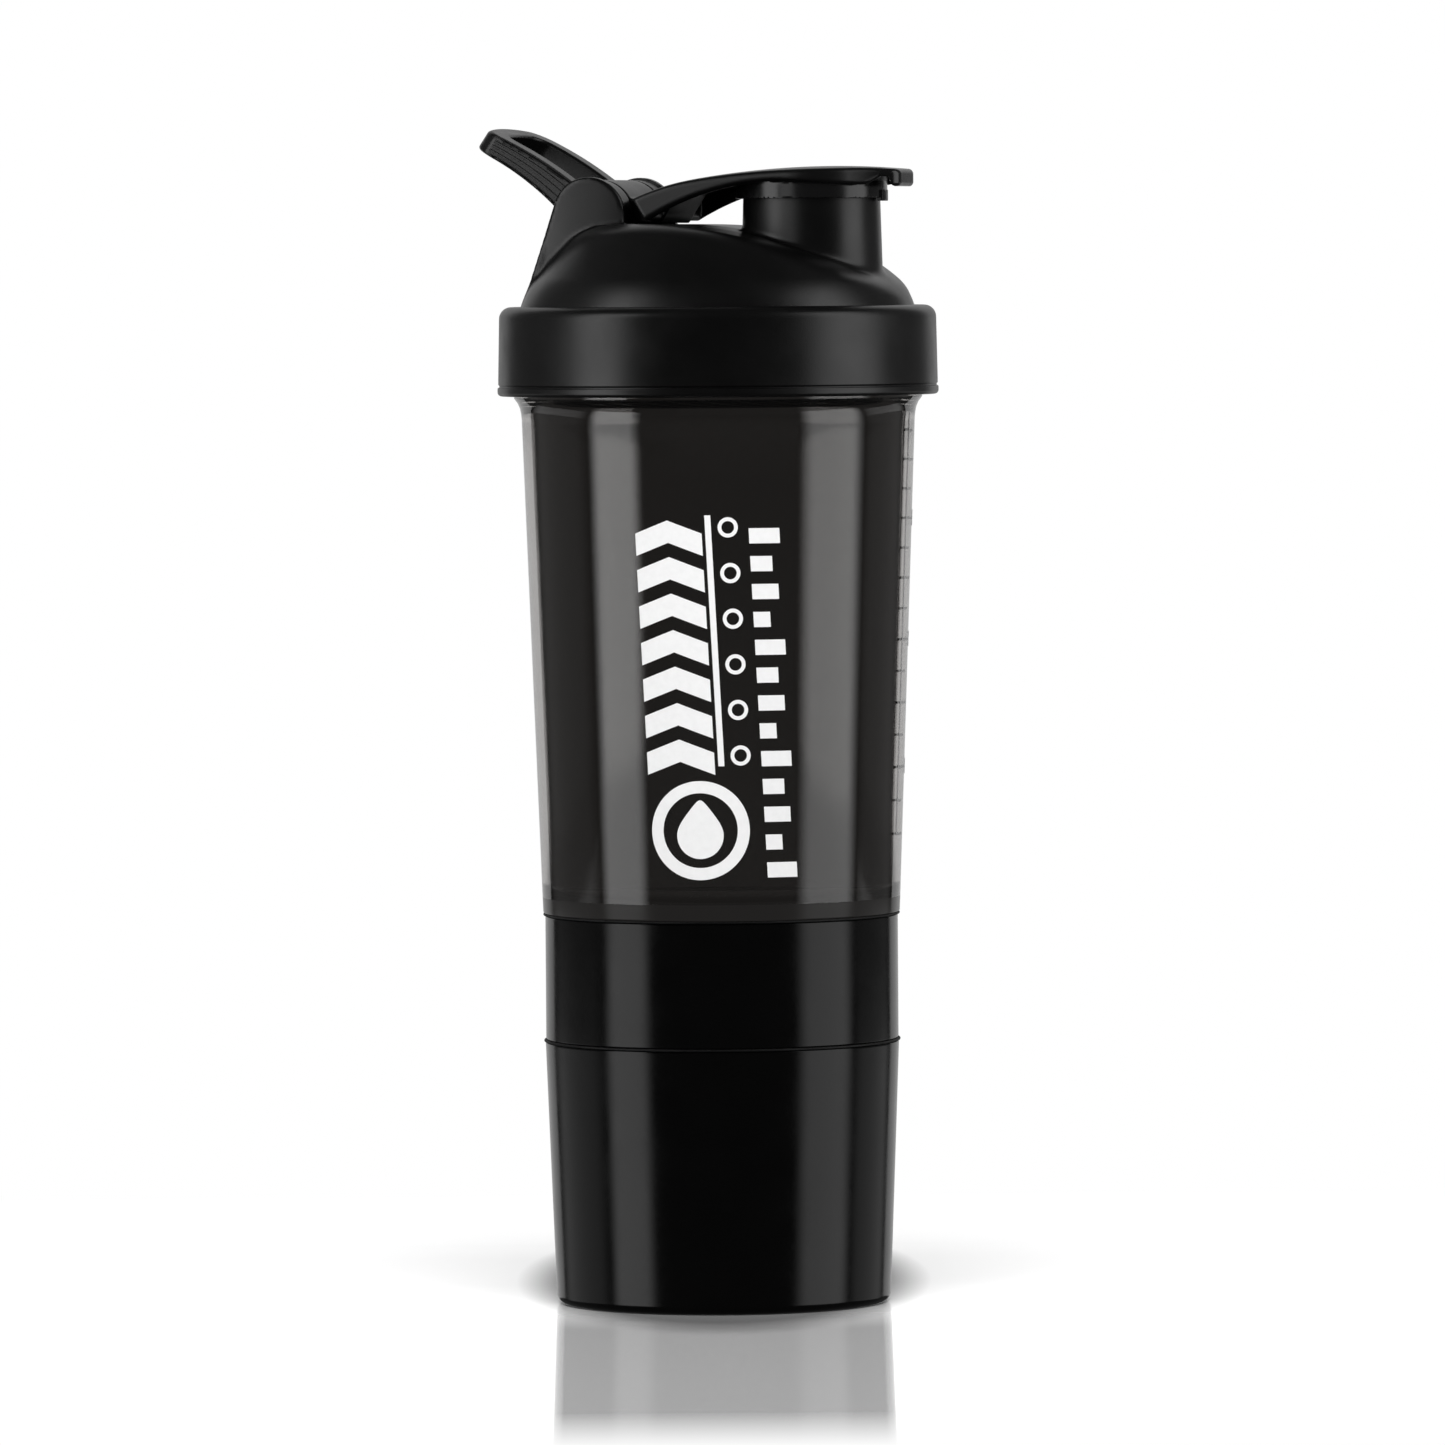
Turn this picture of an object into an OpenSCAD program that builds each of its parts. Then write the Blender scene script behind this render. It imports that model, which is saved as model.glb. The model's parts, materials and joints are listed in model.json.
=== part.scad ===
// Shaker bottle: a flip-cap screw lid with a carry loop, a cup, and two storage
// containers that screw together below it.
// Millimetres. +Z is up, the bottle's axis is Z, and it stands on z = 0.
// The spout points towards +X and the carry loop towards -X.

/* [Stack] */
// Height of the seam between the two storage containers
lower_seam_z = 52.6; // [50:0.1:56]
// Height of the seam between the upper storage container and the cup
upper_seam_z = 77.9; // [76.5:0.1:84]
// Height of the lid collar's lower edge
collar_z = 181.6; // [170:0.1:200]
// Wall thickness of the cup and the containers
wall = 1.9; // [1.6:0.1:2.2]
// Thickness of their floors
floor_t = 2; // [1.6:0.1:2.4]
// How far the outer wall leans out for each millimetre of height
draft = 0.0364; // [0.03:0.001:0.04]

/* [Storage containers] */
// Outer radius of the lower container where it stands
base_r = 33.5; // [33:0.1:33.8]
// Radius of the rounding round the lower container's foot
foot_round = 1.8; // [1:0.1:2.2]
// Outer radius of the upper container
upper_r = 35.3; // [35.1:0.1:35.5]
// Outer radius of the threaded rings under the upper container and the cup
ring_r = 32; // [31.9:0.05:32.1]
// Depth of these rings below their seams
ring_h = 8.6; // [8.4:0.1:8.8]
// Inner radius of the containers' threaded mouths
mouth_r = 33.75; // [33.65:0.05:33.8]
// Depth of the mouths' thinner wall below the seams
mouth_h = 9.2; // [9:0.1:9.6]

/* [Cup] */
// Outer radius of the cup at its lower seam
cup_r = 35.7; // [35.5:0.1:36]
// Outer radius of the cup's threaded neck
cup_neck_r = 40.1; // [40:0.05:40.2]
// Height of the cup's neck above the collar's lower edge
cup_neck_h = 13.6; // [13.2:0.1:13.8]

/* [Lid] */
// Height of the collar
collar_h = 17.8; // [17.5:0.1:18.5]
// Outer radius of the collar at its lower edge
collar_r = 44.1; // [43.9:0.1:44.5]
// Inner radius of the collar
collar_in_r = 42; // [41.95:0.05:42.1]
// Radius of the dome where it meets the collar
dome_r = 40.4; // [40.2:0.1:40.6]
// Slope of the dome's side above the horizontal, in degrees
dome_slope = 50.6; // [50:0.2:52]
// Radius of the curved roof, whose axis runs across the bottle
roof_r = 101; // [96:1:106]
// Distance of the roof's highest line from the bottle's axis, towards -X
roof_x = -10; // [-11:0.5:-9]
// Height of the roof's highest line above the collar
roof_h = 16.4; // [16.2:0.1:16.6]

/* [Spout and flip cap] */
// Distance from the bottle's axis to the spout's axis
spout_x = 20; // [19.5:0.1:20.5]
// Outer radius of the spout at its top
spout_r = 13.6; // [13.4:0.1:13.7]
// Radius of the drinking bore
spout_bore_r = 11.7; // [11.6:0.1:11.8]
// Height of the spout's rim above the collar
spout_h = 23.4; // [23.2:0.1:23.6]
// Half of the flip cap's width
cap_half_w = 16.3; // [16.2:0.1:16.5]
// Height of the flip cap's top above the collar
cap_h = 27.7; // [27.6:0.1:27.8]
// Thickness of the flip cap's skin
cap_wall = 1.6; // [1.4:0.1:1.7]
// Distance from the bottle's axis to the end of the thumb tab
tab_end_x = 40; // [39:0.2:41]

/* [Hinge and carry loop] */
// Distance from the bottle's axis to the hinge axis, towards -X
hinge_x = -21.6; // [-22:0.1:-21.4]
// Height of the hinge axis above the collar
hinge_h = 18.2; // [18:0.1:18.4]
// Radius of the ears round the hinge axis
ear_r = 7.6; // [7.4:0.1:7.8]
// Thickness of each ear
ear_t = 2.3; // [2.2:0.1:2.6]
// Radius of the hinge pin
pin_r = 2; // [1.8:0.1:2.2]
// Outer width of the carry loop
loop_w = 28.3; // [28:0.1:28.4]
// Width of each of the loop's legs
leg_w = 4.9; // [4.6:0.1:5]
// Reach of the loop from the hinge axis to the middle of its bowed tip
loop_reach = 29.7; // [28:0.1:31]
// Angle of the raised loop above the horizontal, in degrees
loop_rise = 34.4; // [33:0.2:36]
// How far the loop folds down from there, in degrees
loop_fold = 62; // [55:1:63]

/* [Hidden] */
$fn = 96;

// Fits
flat_gap = 0.05;        // between flat faces that bear on each other
part_gap = 0.4;         // between parts that pass each other
pin_gap = 0.06;         // radial running clearance on the hinge pin
eps = 0.01;

// Seals in the two seams: half height, and how far the bead stands proud
seal_half = 0.25;
seal_proud = 0.4;

// Heights in the stack
lower_floor_z = floor_t + 0.8;
cup_rim_z = collar_z + cup_neck_h;
collar_top_z = collar_z + collar_h;
top_plate = 1.85;
lid_seat_z = collar_top_z - top_plate;
gasket_t = 1.1;

// Screw threads: two starts each, right-handed
starts = 2;
small_lead = 6;
large_lead = 8;
small_depth = 1.35;
large_depth = 1.5;
ridge_step = 7.5;       // degrees from one section of a ridge to the next
ridge_sink = 0.4;       // how deep a ridge's root lies in its wall
fade_steps = 3;         // sections over which a ridge's end fades into the wall

// Lid
lid_wall = 2;
roof_z = collar_top_z + roof_h;
roof_axis_z = roof_z - roof_r;
spout_top_z = collar_top_z + spout_h;
spout_foot_z = collar_top_z + 3;
spout_flare = 0.6;
cap_top_z = collar_top_z + cap_h;

// Hinge, from the loop's inner side outwards
hinge_z = collar_top_z + hinge_h;
ear_in_y = loop_w / 2 + 0.3;
ear_out_y = ear_in_y + ear_t;
leg_in_y = loop_w / 2 - leg_w;
barrel_half_w = leg_in_y - 0.35;
hub_r = 7.1;
pocket_r = 8.3;
bore_r = pin_r + pin_gap;
blind_wall = 1.1;       // skin left over the pin's end on the -Y ear
pin_inset = 0.3;        // the pin's other end lies this far below the +Y ear

// Flip cap: its top is a long arc that turns into a tighter one at x = 0
cap_arc_r = 160;
cap_arc_x = 25;
cap_bend_r = 50;
cap_arc_z = cap_top_z - cap_arc_r;
cap_edge_z = cap_arc_z + sqrt(pow(cap_arc_r, 2) - pow(cap_arc_x, 2));
cap_bend_x = cap_arc_x * cap_bend_r / cap_arc_r;
cap_bend_z = cap_edge_z - (cap_edge_z - cap_arc_z) * cap_bend_r / cap_arc_r;
cap_root_x = -12.9;
cap_under_r = 56;       // arc along the side walls' lower edge
cap_under_x = 19;
cap_under_z = cap_top_z - 3;
skirt_out_r = 15.1;
skirt_in_r = 14.15;
skirt_drop = 6.4;       // from the cap's top down to the skirt's edge
seat_z = cap_top_z - 2.6;
boss_r = 8;             // boss under the cap that the plug is pushed over
boss_h = 5.2;

// Points of an arc round (x, y) from angle a to angle b
function arc(x, y, r, a, b, n = 8) =
  [for (i = [0 : n]) let (t = a + (b - a) * i / n) [x + r * cos(t), y + r * sin(t)]];

function body_r(z) = base_r + draft * z;
function cup_wall_r(z) = cup_r + draft * (z - upper_seam_z);

// A flat shape in X and Z, as wide as w along Y
module across(w) {
  rotate([90, 0, 0])
    linear_extrude(w, center = true)
      children();
}

// A cylinder along Y at the hinge axis
module hinge_cylinder(r, y0, y1) {
  translate([hinge_x, y1, hinge_z])
    rotate([90, 0, 0])
      cylinder(r = r, h = y1 - y0);
}

// One helical ridge on a wall. Its root is sunk in the wall and its ends fade into it.
module thread_ridge(wall_r, crest_r, base_w, crest_w, lead, turn, start) {
  side = crest_r > wall_r ? 1 : -1;
  root_r = wall_r - side * ridge_sink;
  faded_r = wall_r - side * ridge_sink / 2;
  steps = ceil(turn / ridge_step);
  points = [
    for (i = [0 : steps])
      let (a = i * turn / steps,
           grow = min(1, i / fade_steps, (steps - i) / fade_steps),
           tip_r = faded_r + (crest_r - faded_r) * grow,
           section = side > 0
             ? [[root_r, -base_w], [tip_r, -crest_w], [tip_r, crest_w], [root_r, base_w]]
             : [[tip_r, -crest_w], [root_r, -base_w], [root_r, base_w], [tip_r, crest_w]])
      for (p = section)
        [p[0] * cos(start + a), p[0] * sin(start + a), lead * a / 360 + p[1] / 2]
  ];
  sides = [
    for (i = [0 : steps - 1])
      for (k = [0 : 3])
        let (j = (k + 1) % 4, a = 4 * i, b = 4 * i + 4)
        for (face = [[a + k, a + j, b + j], [a + k, b + j, b + k]]) face
  ];
  last = 4 * steps;
  polyhedron(points, concat([[3, 2, 1, 0]], sides, [[last, last + 1, last + 2, last + 3]]));
}

// All the starts of a screw thread
module screw_thread(wall_r, crest_r, base_w, crest_w, lead, turn, z) {
  for (s = [0 : starts - 1])
    translate([0, 0, z])
      thread_ridge(wall_r, crest_r, base_w, crest_w, lead, turn, s * 360 / starts);
}

// Thread inside a container's mouth, and the one on the ring that turns in it
module mouth_thread(seam_z) {
  screw_thread(mouth_r, mouth_r - small_depth, 1.8, 0.7, small_lead, 210, seam_z - 7);
}
module ring_thread(seam_z) {
  screw_thread(ring_r, ring_r + small_depth, 1.8, 0.7, small_lead, 225,
               seam_z - 7 + small_lead / starts / 2);
}

// Outline, from the axis outwards, of a floor and the threaded ring below it
function ring_points(seam_z) =
  let (low_z = seam_z - ring_h, top_z = seam_z + seal_half + flat_gap)
    concat(
      [[0, top_z], [ring_r - wall, top_z]],
      arc(ring_r - wall + 0.5, low_z + 0.5, 0.5, 180, 270, 4),
      arc(ring_r - 0.5, low_z + 0.5, 0.5, -90, 0, 4),
      [[ring_r, top_z]]
    );

// Outline, from the rim inwards, of a container's mouth above a wall of radius in_r
function mouth_points(seam_z, in_r) =
  let (top_z = seam_z - seal_half - flat_gap, low_z = seam_z - mouth_h)
    [[mouth_r + 0.3, top_z], [mouth_r, top_z - 0.4], [mouth_r, low_z],
     [in_r, low_z - (mouth_r - in_r)]];

// ---- Lower storage container ----

module lower_storage() {
  top_z = lower_seam_z - seal_half - flat_gap;
  inner_r = body_r(lower_floor_z) - wall;
  color([0.05, 0.05, 0.055])
    union() {
      rotate_extrude()
        difference() {
          polygon(concat(
            [[0, 0]],
            arc(base_r - foot_round, foot_round, foot_round, -90, 0),
            [[body_r(top_z - 0.3), top_z - 0.3], [body_r(top_z) - 0.3, top_z]],
            mouth_points(lower_seam_z, body_r(lower_seam_z - mouth_h) - wall),
            arc(inner_r - 3, lower_floor_z + 3, 3, 0, -90),
            [[0, lower_floor_z]]
          ));
          // Recess round the moulding pad under the floor
          polygon([[12, -1], [12, 0.5], [13, 0.8], [28, 0.8], [29, 0.5], [29, -1]]);
        }
      mouth_thread(lower_seam_z);
    }
}

// ---- Upper storage container ----

module upper_storage() {
  low_z = lower_seam_z + seal_half + flat_gap;
  top_z = upper_seam_z - seal_half - flat_gap;
  inside_z = low_z + floor_t;
  inner_r = upper_r - wall;
  color([0.05, 0.05, 0.055])
    union() {
      rotate_extrude()
        polygon(concat(
          ring_points(lower_seam_z),
          [[upper_r - 0.2, low_z], [upper_r, low_z + 0.2], [upper_r, top_z - 0.3],
           [upper_r - 0.3, top_z]],
          mouth_points(upper_seam_z, inner_r),
          arc(inner_r - 1.5, inside_z + 1.5, 1.5, 0, -90, 6),
          [[0, inside_z]]
        ));
      ring_thread(lower_seam_z);
      mouth_thread(upper_seam_z);
    }
}

// Seal in a seam: a thin ring that clears the thread, with a bead at its outer edge
module seam_seal(seam_z) {
  in_r = ring_r + small_depth + part_gap;
  bead_r = upper_r + seal_proud - seal_half;
  color([0.03, 0.03, 0.03])
    rotate_extrude()
      polygon(concat(
        [[in_r, seam_z - seal_half]],
        arc(bead_r, seam_z, seal_half, -90, 90, 6),
        [[in_r, seam_z + seal_half]]
      ));
}

module lower_storage_seal() {
  seam_seal(lower_seam_z);
}

module upper_storage_seal() {
  seam_seal(upper_seam_z);
}

// Tray that stands in the upper container, divided into equal pockets
module pill_tray() {
  pockets = 4;
  low_z = lower_seam_z + seal_half + floor_t + 2 * flat_gap;
  tray_r = mouth_r - small_depth - 2 * part_gap;
  tray_h = upper_seam_z - ring_h - part_gap - low_z;
  tray_t = 1.2;
  rib_h = tray_h - 1.5;
  color([0.1, 0.1, 0.105])
    union() {
      rotate_extrude()
        polygon(concat(
          [[0, low_z]],
          arc(tray_r - 2.1, low_z + 1.5, 1.5, -90, -10, 5),
          [[tray_r, low_z + tray_h - 0.3], [tray_r - 0.3, low_z + tray_h],
           [tray_r - tray_t, low_z + tray_h]],
          arc(tray_r - 2.9, low_z + tray_t + 1, 1, 0, -90, 4),
          [[0, low_z + tray_t]]
        ));
      for (i = [0 : pockets / 2 - 1])
        rotate(45 + i * 360 / pockets)
          translate([1.4 - tray_r, -tray_t / 2, low_z + tray_t / 2])
            cube([2 * tray_r - 2.8, tray_t, rib_h]);
      translate([0, 0, low_z + tray_t / 2])
        cylinder(r = 3, h = rib_h);
    }
}

// ---- Cup ----

module cup() {
  low_z = upper_seam_z + seal_half + flat_gap;
  flare_z = collar_z - 4.6;
  inside_z = low_z + floor_t;
  neck_z = collar_z + 0.6;
  neck_in_r = cup_neck_r - wall;
  shoulder_r = cup_neck_r + 0.7;
  flare_r = cup_wall_r(flare_z);
  color([0.16, 0.15, 0.145, 0.8])
    union() {
      rotate_extrude()
        polygon(concat(
          ring_points(upper_seam_z),
          [[cup_wall_r(low_z) - 0.2, low_z], [cup_wall_r(low_z), low_z + 0.2],
           [flare_r, flare_z], [flare_r + 0.35, flare_z + 2.2],
           [flare_r + 0.8, flare_z + 3.2], [shoulder_r, flare_z + 4],
           [shoulder_r, neck_z], [cup_neck_r, neck_z + 0.3]],
          arc(cup_neck_r - 0.7, cup_rim_z - 0.7, 0.7, 0, 90, 4),
          arc(neck_in_r + 0.7, cup_rim_z - 0.7, 0.7, 90, 180, 4),
          [[neck_in_r, collar_z - 0.5], [flare_r - wall, flare_z - 1],
           [cup_wall_r(inside_z + 4) - wall, inside_z + 4]],
          arc(cup_wall_r(inside_z) - wall - 4, inside_z + 4, 4, 0, -90),
          [[0, inside_z]]
        ));
      screw_thread(cup_neck_r, cup_neck_r + large_depth, 2.4, 1, large_lead, 255,
                   collar_z + 3.8);
      ring_thread(upper_seam_z);
    }
}

// Grid in the cup's mouth: a rim that rests on the cup, and square holes
module mixing_grid() {
  pitch = 6.6;
  bar_w = 1.5;
  bar_t = 1.6;
  rim_r = cup_neck_r - wall - part_gap;
  flange_z = cup_rim_z + flat_gap;
  grid_z = flange_z - 3.6;
  bars = floor(rim_r / pitch);
  color([0.07, 0.07, 0.075])
    union() {
      rotate_extrude()
        polygon([
          [rim_r - 1.4, grid_z], [rim_r - 0.3, grid_z], [rim_r, flange_z],
          [cup_neck_r - 0.2, flange_z], [cup_neck_r - 0.2, flange_z + gasket_t],
          [rim_r - 1, flange_z + gasket_t], [rim_r - 1.4, flange_z + 0.6]
        ]);
      intersection() {
        translate([0, 0, grid_z])
          cylinder(r = rim_r - 0.9, h = bar_t);
        union() {
          for (i = [-bars : bars], turn = [0, 90])
            rotate(turn)
              translate([i * pitch - bar_w / 2, -rim_r, grid_z - 1])
                cube([bar_w, 2 * rim_r, bar_t + 2]);
        }
      }
    }
}

// Flat gasket in the lid, between its top plate and the grid's rim
module lid_gasket() {
  high_z = lid_seat_z - flat_gap;
  color([0.2, 0.2, 0.2])
    rotate_extrude()
      translate([cup_neck_r - 1.8, high_z - gasket_t])
        square([collar_in_r - cup_neck_r + 1.3, gasket_t]);
}

// ---- Lid ----

// Outline of the dome, moved in by d: a short foot and a straight slope
module dome_outline(d) {
  foot_r = dome_r - d;
  run = 24;
  shoulder = [foot_r - 2.4, collar_top_z + 3.7];
  polygon([
    [0, lid_seat_z], [foot_r, lid_seat_z], [foot_r, collar_top_z + 0.4],
    [foot_r - 0.9, collar_top_z + 1.9], shoulder,
    shoulder + run * [-cos(dome_slope), sin(dome_slope)], [0, shoulder[1] + run]
  ]);
}

// The dome under its curved roof, moved in by d
module dome(d) {
  intersection() {
    rotate_extrude()
      dome_outline(d);
    translate([roof_x, 0, roof_axis_z])
      rotate([90, 0, 0])
        cylinder(r = roof_r - d, h = 2 * collar_r, center = true, $fn = 360);
  }
}

module collar() {
  top_r = collar_r - 0.4;
  step_z = collar_z + 1.9;
  rotate_extrude()
    polygon(concat(
      [[collar_in_r + 0.5, collar_z]],
      arc(collar_r - 1, collar_z + 1, 1, -90, 0, 4),
      [[collar_r, step_z - 0.2], [collar_r - 0.15, step_z]],
      arc(top_r - 2.4, collar_top_z - 2.4, 2.4, 0, 90),
      [[dome_r - 5, collar_top_z], [dome_r - 5, lid_seat_z], [collar_in_r, lid_seat_z],
       [collar_in_r, collar_z + 0.5]]
    ));
}

// Outline of an ear: round about the hinge, then down to the collar
module ear_outline() {
  lean = 19;
  front_x = hinge_x + ear_r;
  back = [hinge_x - ear_r * cos(lean), hinge_z + ear_r * sin(lean)];
  drop = back[1] - collar_top_z + 0.5;
  translate([hinge_x, hinge_z])
    circle(ear_r);
  polygon([back, back - drop * [tan(lean), 1], [front_x, collar_top_z - 0.5],
           [front_x, hinge_z], [hinge_x, hinge_z]]);
}

// Space for the hubs, and for the loop when it is folded down: d larger all round
module hinge_pocket(d, half_w) {
  across(2 * half_w)
    translate([hinge_x, hinge_z]) {
      circle(pocket_r + d);
      rotate(loop_fold - loop_rise)
        translate([-40, -3.5 - d])
          square([40, 20]);
    }
}

// Outside of the spout, from inside the dome to its top
module spout_body() {
  translate([spout_x, 0, 0])
    rotate_extrude()
      polygon(concat(
        [[0, spout_foot_z], [spout_r + spout_flare, spout_foot_z]],
        arc(spout_r - 0.8, spout_top_z - 0.8, 0.8, 0, 90, 4),
        [[0, spout_top_z]]
      ));
}

module lid() {
  color([0.09, 0.09, 0.095])
    union() {
      difference() {
        union() {
          dome(0);
          collar();
          // The pocket below takes the ears' inner faces back to their place
          for (side = [-1, 1])
            translate([0, side * (ear_in_y + ear_t / 2 - 0.1), 0])
              across(ear_t + 0.2)
                ear_outline();
        }
        // Inside of the dome, up to a wall that runs across it below the hinge pocket
        difference() {
          dome(lid_wall);
          hinge_pocket(lid_wall, collar_r);
        }
        hinge_pocket(0, ear_in_y);
        translate([0, 0, collar_z - 1])
          cylinder(r = cup_neck_r, h = lid_seat_z - collar_z + 1);
        spout_body();
        // The pin's bore is open at the +Y ear and blind at the other
        hinge_cylinder(pin_r, blind_wall - ear_out_y, ear_out_y + 1);
      }
      screw_thread(collar_in_r, collar_in_r - large_depth, 2.4, 1, large_lead, 225,
                   collar_z + 3.8 + large_lead / starts / 2);
    }
}

// Drinking spout: a tube that stands in the dome and ends at its inner face
module spout() {
  color([0.09, 0.09, 0.095])
    difference() {
      spout_body();
      dome(lid_wall);
      translate([spout_x, 0, spout_foot_z - 1])
        cylinder(r = spout_bore_r, h = spout_h);
    }
}

module hinge_pin() {
  color([0.7, 0.7, 0.72])
    hinge_cylinder(pin_r, blind_wall - ear_out_y, ear_out_y - pin_inset);
}

// ---- Flip cap ----

// Everything under the cap's curved top, moved down by d
module under_cap_top(d) {
  intersection() {
    translate([cap_arc_x, cap_arc_z])
      circle(cap_arc_r - d, $fn = 720);
    translate([0, cap_arc_z])
      square([cap_arc_r, cap_arc_r]);
  }
  intersection() {
    translate([cap_bend_x, cap_bend_z])
      circle(cap_bend_r - d, $fn = 360);
    translate([-30, cap_bend_z])
      square([30 + eps, cap_bend_r]);
  }
}

// Side view of the arm: the curved top, and side walls that arch down to the root
module arm_outline() {
  difference() {
    intersection() {
      under_cap_top(0);
      polygon([[cap_root_x, cap_top_z], [cap_root_x, cap_top_z - 5.6],
               [cap_root_x + 2.9, cap_top_z - 11], [cap_under_x, cap_top_z - 12],
               [tab_end_x, cap_top_z - 12], [tab_end_x, cap_top_z + 1],
               [cap_root_x, cap_top_z + 1]]);
    }
    translate([cap_under_x, cap_under_z - cap_under_r])
      circle(cap_under_r, $fn = 360);
    polygon([[cap_under_x, cap_under_z], [tab_end_x + 5, cap_under_z - 1.5],
             [tab_end_x + 5, cap_under_z - 20], [cap_under_x, cap_under_z - 20]]);
  }
}

// Top view of the arm and its round end, moved in by d, starting at start_x
module arm_plan(d, start_x) {
  half_w = cap_half_w - d;
  translate([spout_x, 0])
    circle(half_w);
  translate([start_x, -half_w])
    square([spout_x - start_x, 2 * half_w]);
}

module thumb_tab() {
  half_w = 5.5;
  foot_x = spout_x + cap_half_w - 2.5;
  intersection() {
    across(2 * half_w)
      intersection() {
        under_cap_top(0);
        polygon([[foot_x, cap_top_z - 3.9], [tab_end_x - 1.6, cap_top_z - 3.9],
                 [tab_end_x + 0.4, cap_top_z - 2.3], [tab_end_x + 0.4, cap_top_z + 1],
                 [foot_x, cap_top_z + 1]]);
      }
    // Rounded corners in the top view
    translate([0, 0, cap_top_z - 10])
      linear_extrude(20) {
        translate([foot_x - 1, -half_w])
          square([tab_end_x - foot_x - 1, 2 * half_w]);
        translate([foot_x, 2 - half_w])
          square([tab_end_x - foot_x, 2 * half_w - 4]);
        for (side = [-1, 1])
          translate([tab_end_x - 2, side * (half_w - 2)])
            circle(2);
      }
  }
}

// Web from the barrel to the arm
module cap_web() {
  across(2 * barrel_half_w)
    polygon([[hinge_x, hinge_z], [hinge_x + 6, hinge_z - 3.5], [hinge_x + 8, hinge_z - 1.5],
             [cap_root_x + 4, hinge_z - 1.5], [cap_root_x + 8, hinge_z + 4.4],
             [cap_root_x + 6, hinge_z + 5], [cap_root_x, hinge_z + 3.9],
             [hinge_x + 6, hinge_z + 3]]);
}

module flip_cap() {
  skirt_z = cap_top_z - skirt_drop;
  color([0.09, 0.09, 0.095])
    difference() {
      union() {
        // Arm: a shell with side walls and a solid root
        difference() {
          intersection() {
            across(2 * cap_half_w)
              arm_outline();
            translate([0, 0, hinge_z - 5])
              linear_extrude(30)
                arm_plan(0, cap_root_x - 1);
          }
          intersection() {
            across(2 * cap_half_w)
              under_cap_top(cap_wall);
            translate([0, 0, hinge_z - 5])
              linear_extrude(30)
                arm_plan(cap_wall, cap_root_x + 4.5);
          }
        }
        thumb_tab();
        cap_web();
        hinge_cylinder(hub_r, -barrel_half_w, barrel_half_w);
        // Disc over the spout: seat, skirt with its catch, and the boss for the plug
        intersection() {
          translate([spout_x, 0, 0])
            union() {
              translate([0, 0, seat_z])
                cylinder(r = skirt_out_r, h = 5);
              difference() {
                translate([0, 0, seat_z - boss_h])
                  cylinder(r = boss_r, h = boss_h + 1);
                translate([0, 0, seat_z - boss_h - 1])
                  cylinder(r = boss_r - cap_wall, h = boss_h + 2);
              }
              difference() {
                translate([0, 0, skirt_z])
                  cylinder(r = skirt_out_r, h = 5);
                translate([0, 0, skirt_z - 1])
                  cylinder(r = skirt_in_r, h = 7);
              }
              translate([0, 0, skirt_z - 0.6])
                rotate(-7)
                  rotate_extrude(angle = 14)
                    translate([skirt_in_r + 0.2, 0])
                      square([skirt_out_r - skirt_in_r + 0.3, 2]);
            }
          across(2 * cap_half_w)
            under_cap_top(cap_wall / 2);
        }
      }
      hinge_cylinder(bore_r, -barrel_half_w - 1, barrel_half_w + 1);
    }
}

// Soft plug that fits over the cap's boss and closes the drinking bore
module spout_plug() {
  flange_t = seat_z - spout_top_z - 0.3;
  low_z = seat_z - boss_h - 1.8;
  color([0.13, 0.13, 0.13])
    translate([spout_x, 0, 0])
      rotate_extrude()
        polygon([
          [0, low_z], [spout_bore_r - 2, low_z], [spout_bore_r - 1.2, low_z + 0.8],
          [spout_bore_r - 0.5, seat_z - flange_t - 1.2],
          [spout_bore_r - 0.5, seat_z - flange_t],
          [spout_r - 0.6, seat_z - flange_t], [spout_r - 0.6, seat_z],
          [boss_r, seat_z], [boss_r, seat_z - boss_h], [0, seat_z - boss_h]
        ]);
}

// ---- Carry loop ----

// Side view of the loop, reaching towards -X from the hinge axis at the origin
module loop_outline() {
  top_v = 3.3;
  top_r = 84;
  low_v = -2.1;
  low_r = 60;
  tip_round = 1.2;
  difference() {
    intersection() {
      translate([-11, top_v - top_r])
        circle(top_r, $fn = 540);
      polygon([[0, 4], [0, -3.2], [-8, -4], [tip_round - loop_reach, -4],
               [-loop_reach, tip_round + low_v], [-loop_reach, 4]]);
    }
    translate([-18, low_v - low_r])
      circle(low_r, $fn = 360);
  }
}

// Top view of a loop outline with a bowed tip and rounded corners
module loop_plan(half_w, reach, corner) {
  bow_r = 50;
  corner_x = bow_r - reach - sqrt(pow(bow_r - corner, 2) - pow(half_w - corner, 2));
  for (side = [-1, 1])
    translate([corner_x, side * (half_w - corner)])
      circle(corner);
  translate([corner_x, -half_w])
    square([reach - corner_x, 2 * half_w]);
  intersection() {
    translate([bow_r - reach, 0])
      circle(bow_r, $fn = 360);
    translate([-reach - 1, corner - half_w])
      square([2 * reach, 2 * half_w - 2 * corner]);
  }
}

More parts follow.
